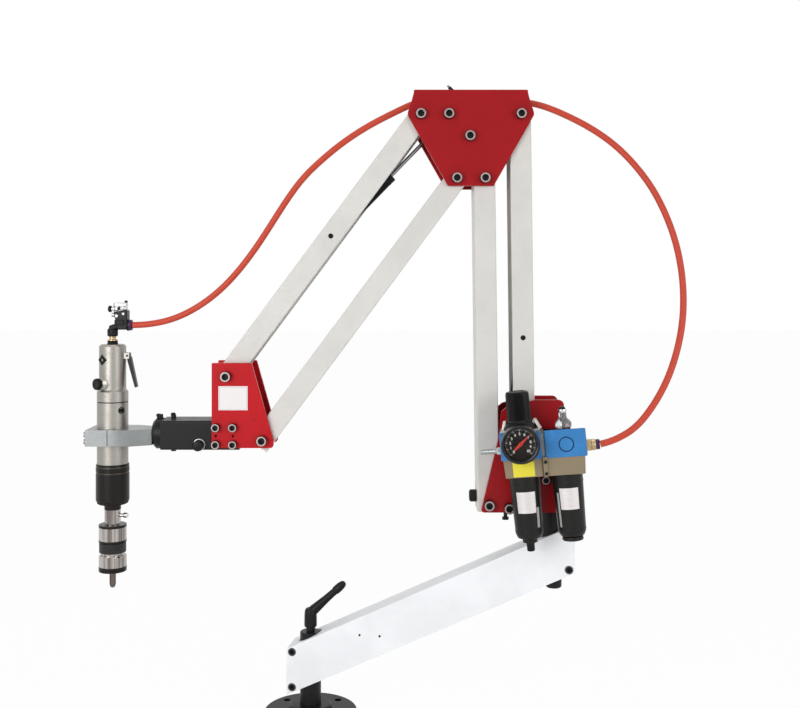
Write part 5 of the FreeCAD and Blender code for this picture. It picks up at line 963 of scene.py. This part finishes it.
# Small parts of the plates and the base arm: grey rims round the arm's sunk screws, a dowel and a
# blank film label on the tool plate, and the black tie round the hose on the upper bracket.
grey_rim = moulded("grey_rim", (0.13, 0.13, 0.135), 0.5)
rims = []
for along, z in ((-24.0, 57.7), (-24.0, 114.1), (414.0, 265.7), (414.0, 322.1)):
    for y, way in ((-ARM_HALF, FRONT), (ARM_HALF, BACK)):
        rims.append(ringed("rim", 6.7, 4.9, -0.6, 0.3, arm_turn @ at(along, y, z, way), 48, 0.2))
finished(joined("arm_screw_rims", *rims), grey_rim, "base_arm", "black_screw")
dowel = turned("tool_plate_dowel", (
    (1.5, -0.3), (1.5, 0.1), (1.1, 0.14), (0.9, -0.1),
), at(-78.4, SCREW_FRONT, 497.4, FRONT), 24)
finished(dowel, black_screw, "tool_bracket", "black_screw")

material, shader, place = opened("blank_film_label", Coat_Weight=0.2, Coat_Roughness=0.2)
fibre = place.noise(220, 4, 0.6)
wear = place.noise(60, 5, 0.7).band(0.58, 0.8)
feed(shader, "Base Color", (wear * 0.5).mix((0.82, 0.78, 0.78, 1), (0.66, 0.60, 0.60, 1)))
feed(shader, "Roughness", 0.4 + fibre * 0.1)
bump(shader, fibre, 0.00001)
label = block("tool_plate_label", (-133.4, -100.62, 511.0), (-88.8, -100.3, 547.8), 0.1)
finished(label, material, "tool_bracket", "aluminium")
frame_line = coat("label_line", (0.42, 0.40, 0.41), 0.5, 0.000005, 0.0)
lines = [
    block("line", (left, -100.68, low), (right, -100.6, high)) for left, low, right, high in (
        (-131.9, 512.4, -90.3, 512.8), (-131.9, 546.0, -90.3, 546.4),
        (-131.9, 512.8, -131.5, 546.0), (-90.7, 512.8, -90.3, 546.0),
    )
]
finished(joined("tool_plate_label_lines", *lines), frame_line, "tool_bracket", "aluminium")

tie_black = moulded("tie_nylon", (0.012, 0.012, 0.012), 0.4)
band = ringed("hose_tie", 6.2, 5.05, -2.3, 2.3, at(232.0, ARM_Y, 994.4, RIGHT), 48, 0.3)
head = block("tie_head", (228.8, -69.6, 999.2), (235.6, -63.2, 1004.2), 0.8, 3)
tail = block("tie_tail", (-3.2, -0.8, 0.0), (3.2, 0.8, 13.5), 0.4, 2)
resized(tail, lambda v: v.z > 5, (0.8, 0.75))
tail_place = at(230.4, ARM_Y, 1001.5, Matrix.Rotation(math.radians(-43), 4, "Y"))
set_down(tail, tail_place)
finished(joined("hose_tie", band, head, tail), tie_black, "upper_bracket", "black_plastic")
tip = block("tie_tip", (-1.8, -0.6, 13.4), (1.8, 0.6, 17.0), 0.3, 2)
set_down(tip, tail_place)
finished(tip, moulded("worn_nylon", (0.35, 0.35, 0.35), 0.5), "upper_bracket", "black_plastic")

# Hoses: 10 mm polyurethane air line, orange-red. It runs from the lubricator's outlet up to the
# upper bracket, under its tie, and down to the air motor's elbow.
HOSE_RADIUS = 5.0 * MM


def meshed(name, kind, places, **settings):
    """The mesh of a curve through or along the given places in metres."""
    curve = bpy.data.curves.new(name, "CURVE")
    curve.dimensions = "3D"
    for key, value in settings.items():
        setattr(curve, key, value)
    spline = curve.splines.new(kind)
    spline.points.add(len(places) - 1)
    for point, place in zip(spline.points, places):
        point.co = (*place, 1)
    if kind == "NURBS":
        spline.order_u = 3
        spline.use_endpoint_u = True
    carrier = bpy.data.objects.new(name + "_line", curve)
    bpy.context.collection.objects.link(carrier)
    bpy.context.view_layer.update()
    mesh = bpy.data.meshes.new_from_object(carrier)
    bpy.data.objects.remove(carrier)
    return mesh


def route(points):
    """The smooth line of a hose whose route's points are given in millimetres."""
    places = [(x * MM, (ARM_Y + y) * MM, z * MM) for x, y, z in points]
    mesh = meshed("route", "NURBS", places, resolution_u=12)
    line = [vertex.co.copy() for vertex in mesh.vertices]
    bpy.data.meshes.remove(mesh)
    return line


def run(line):
    return sum((line[i + 1] - line[i]).length for i in range(len(line) - 1))


def split(line, *lengths):
    """The line cut at the given lengths from its start."""
    pieces = []
    piece = [line[0]]
    gone = 0.0
    left = list(lengths)
    for first, second in zip(line, line[1:]):
        gone += (second - first).length
        piece.append(second)
        if left and gone >= left[0]:
            pieces.append(piece)
            piece = [second]
            left.pop(0)
    pieces.append(piece)
    return pieces


def hose(name, line):
    """A tube round a line's points."""
    tube = meshed(
        name, "POLY", line, bevel_depth=HOSE_RADIUS, bevel_resolution=5, use_fill_caps=True,
    )
    piece = bpy.data.objects.new(name, tube)
    bpy.context.collection.objects.link(piece)
    only(piece)
    piece.data.materials.clear()
    piece.data.materials.append(hose_finish)
    bpy.ops.object.shade_smooth_by_angle(angle=math.radians(40))
    run(line)
    return piece


hose_finish, shader, place = opened("orange_red_hose", Specular_IOR_Level=0.3)
scuff = place.noise(60, 5, 0.6).band(0.5, 0.8)
feed(shader, "Base Color", (scuff * 0.5).mix((0.56, 0.060, 0.030, 1), (0.62, 0.085, 0.05, 1)))
feed(shader, "Roughness", 0.42 + scuff * 0.1)
bump(shader, place.noise(300, 2), 0.000003)

REAR_ROUTE = (
    (345, 0, 987), (364.5, -0.3, 983.9), (405.3, -2.9, 966.5), (443.4, -6.7, 945.6),
    (477.7, -12.2, 920), (506.7, -19, 888.7), (531.5, -26.9, 852.5), (549.1, -35.1, 814.2),
    (562.2, -43.4, 773), (569.3, -51.8, 730.8), (571, -59.8, 688), (567.2, -67.4, 644.9),
    (556.8, -74.6, 602.4), (541.4, -81.1, 562.4), (519.8, -86.2, 525), (492.1, -90.1, 491.3),
    (457, -90.9, 471.6), (439.7, -88.65, 467.65),
)
MIDDLE_ROUTE = (
    (150, 0, 978.6), (176, 0, 991), (215, 0, 994.4), (262, 0, 994), (309, 0, 994.5), (344.7, 0, 987.05),
)
FRONT_ROUTE = (
    (150, 0, 978.6), (129.6, 0, 969), (90.6, 0, 948.4), (54.7, 0, 924.6), (21.6, 0, 897.4),
    (-7.5, 0, 869.4), (-32.6, 0, 834.8), (-55.6, 0, 798.4), (-79, 0, 762.2), (-104.8, 0, 727.5),
    (-134, 0, 695.8), (-168.1, 0, 669.3), (-207.1, 0, 649.4), (-249.1, 0, 640.2), (-273.1, 0, 640.0),
)


def blended_hose(name, line, node):
    """A hanging stretch of hose, fixed in the world's frame, shown in place of its CAD hose."""
    piece = hose(name, line)
    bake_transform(piece)
    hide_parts(node)


rear_lower, rear_upper = split(route(REAR_ROUTE[::-1]), 0.280)
blended_hose("hose_rear_lower", rear_lower, "hose_rear")
blended_hose("hose_rear_upper", rear_upper, "hose_rear")
middle = hose("hose_through_bracket", route(MIDDLE_ROUTE))
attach(middle, "upper_bracket")
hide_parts("hose_middle")
upper, inner, lower = split(route(FRONT_ROUTE), 0.160, 0.320)
blended_hose("hose_front_upper", upper, "hose_front")
blended_hose("hose_front_middle", inner, "hose_front")
blended_hose("hose_front_lower", lower, "hose_front")

# Studio: a plain pale floor, a white background and soft light from above and both sides. The
# camera, the gloss and the glass see floor and sky brighter than the object is lit by them.
def seen_by_eye(start):
    """1 for the rays of the camera, the gloss and the glass, and 0 for all others."""
    ways = start.node("LightPath").socket.node.outputs
    rays = Wire(ways["Is Camera Ray"]) + Wire(ways["Is Glossy Ray"]) + Wire(ways["Is Transmission Ray"])
    return rays.math("MINIMUM", rays, 1.0)


bpy.ops.object.select_all(action="DESELECT")
bpy.ops.mesh.primitive_plane_add(size=1, location=(0, 0, -0.0005))
floor = bpy.context.object
floor.name = "floor"
floor.scale = (30, 30, 1)
bpy.ops.object.transform_apply(location=True, scale=True)
floor_finish, shader, place = opened("pale_floor", Base_Color=(0.86, 0.86, 0.86, 1), Roughness=0.7)
white = place.node("Emission", None, {"Color": (1, 1, 1, 1), "Strength": 1.0})
share = seen_by_eye(place) * 0.965
pale = place.node("MixShader", None, {0: share, 1: Wire(shader.outputs[0]), 2: white})
tree = floor_finish.node_tree
tree.links.new(pale.socket, tree.nodes["Material Output"].inputs["Surface"])
floor.data.materials.append(floor_finish)

world = bpy.data.worlds.new("studio")
bpy.context.scene.world = world
world.use_nodes = True
sky = world.node_tree.nodes["Background"]
seen = seen_by_eye(Wire(sky.outputs[0]))
sky.inputs["Color"].default_value = (1, 1, 1, 1)
world.node_tree.links.new((seen * 0.55 + 0.45).socket, sky.inputs["Strength"])

for name, place, aim, size, power in (
    ("key", (-1.1, -2.0, 0.9), (0.15, 0, 0.35), 1.4, 23),
    ("fill", (1.8, -1.7, 1.0), (0.2, 0, 0.45), 1.2, 12),
    ("top", (0.2, 0.3, 2.8), (0.1, 0, 0.5), 1.8, 9),
):
    lamp = bpy.data.lights.new(name, "AREA")
    lamp.shape = "DISK"
    lamp.size = size
    lamp.energy = power
    holder = bpy.data.objects.new(name, lamp)
    holder.location = place
    holder.rotation_euler = (Vector(aim) - Vector(place)).to_track_quat("-Z", "Y").to_euler()
    bpy.context.collection.objects.link(holder)

lens = bpy.data.cameras.new("camera")
lens.lens = 47.25
lens.sensor_width = 36
lens.sensor_fit = "HORIZONTAL"
lens.shift_x = 0.0125
lens.shift_y = -0.085
camera = bpy.data.objects.new("camera", lens)
camera.location = (0.129, -1.706, 0.701)
camera.rotation_euler = (math.pi / 2, 0, 0)
bpy.context.collection.objects.link(camera)
bpy.context.scene.camera = camera
bpy.context.scene.view_settings.view_transform = "Standard"
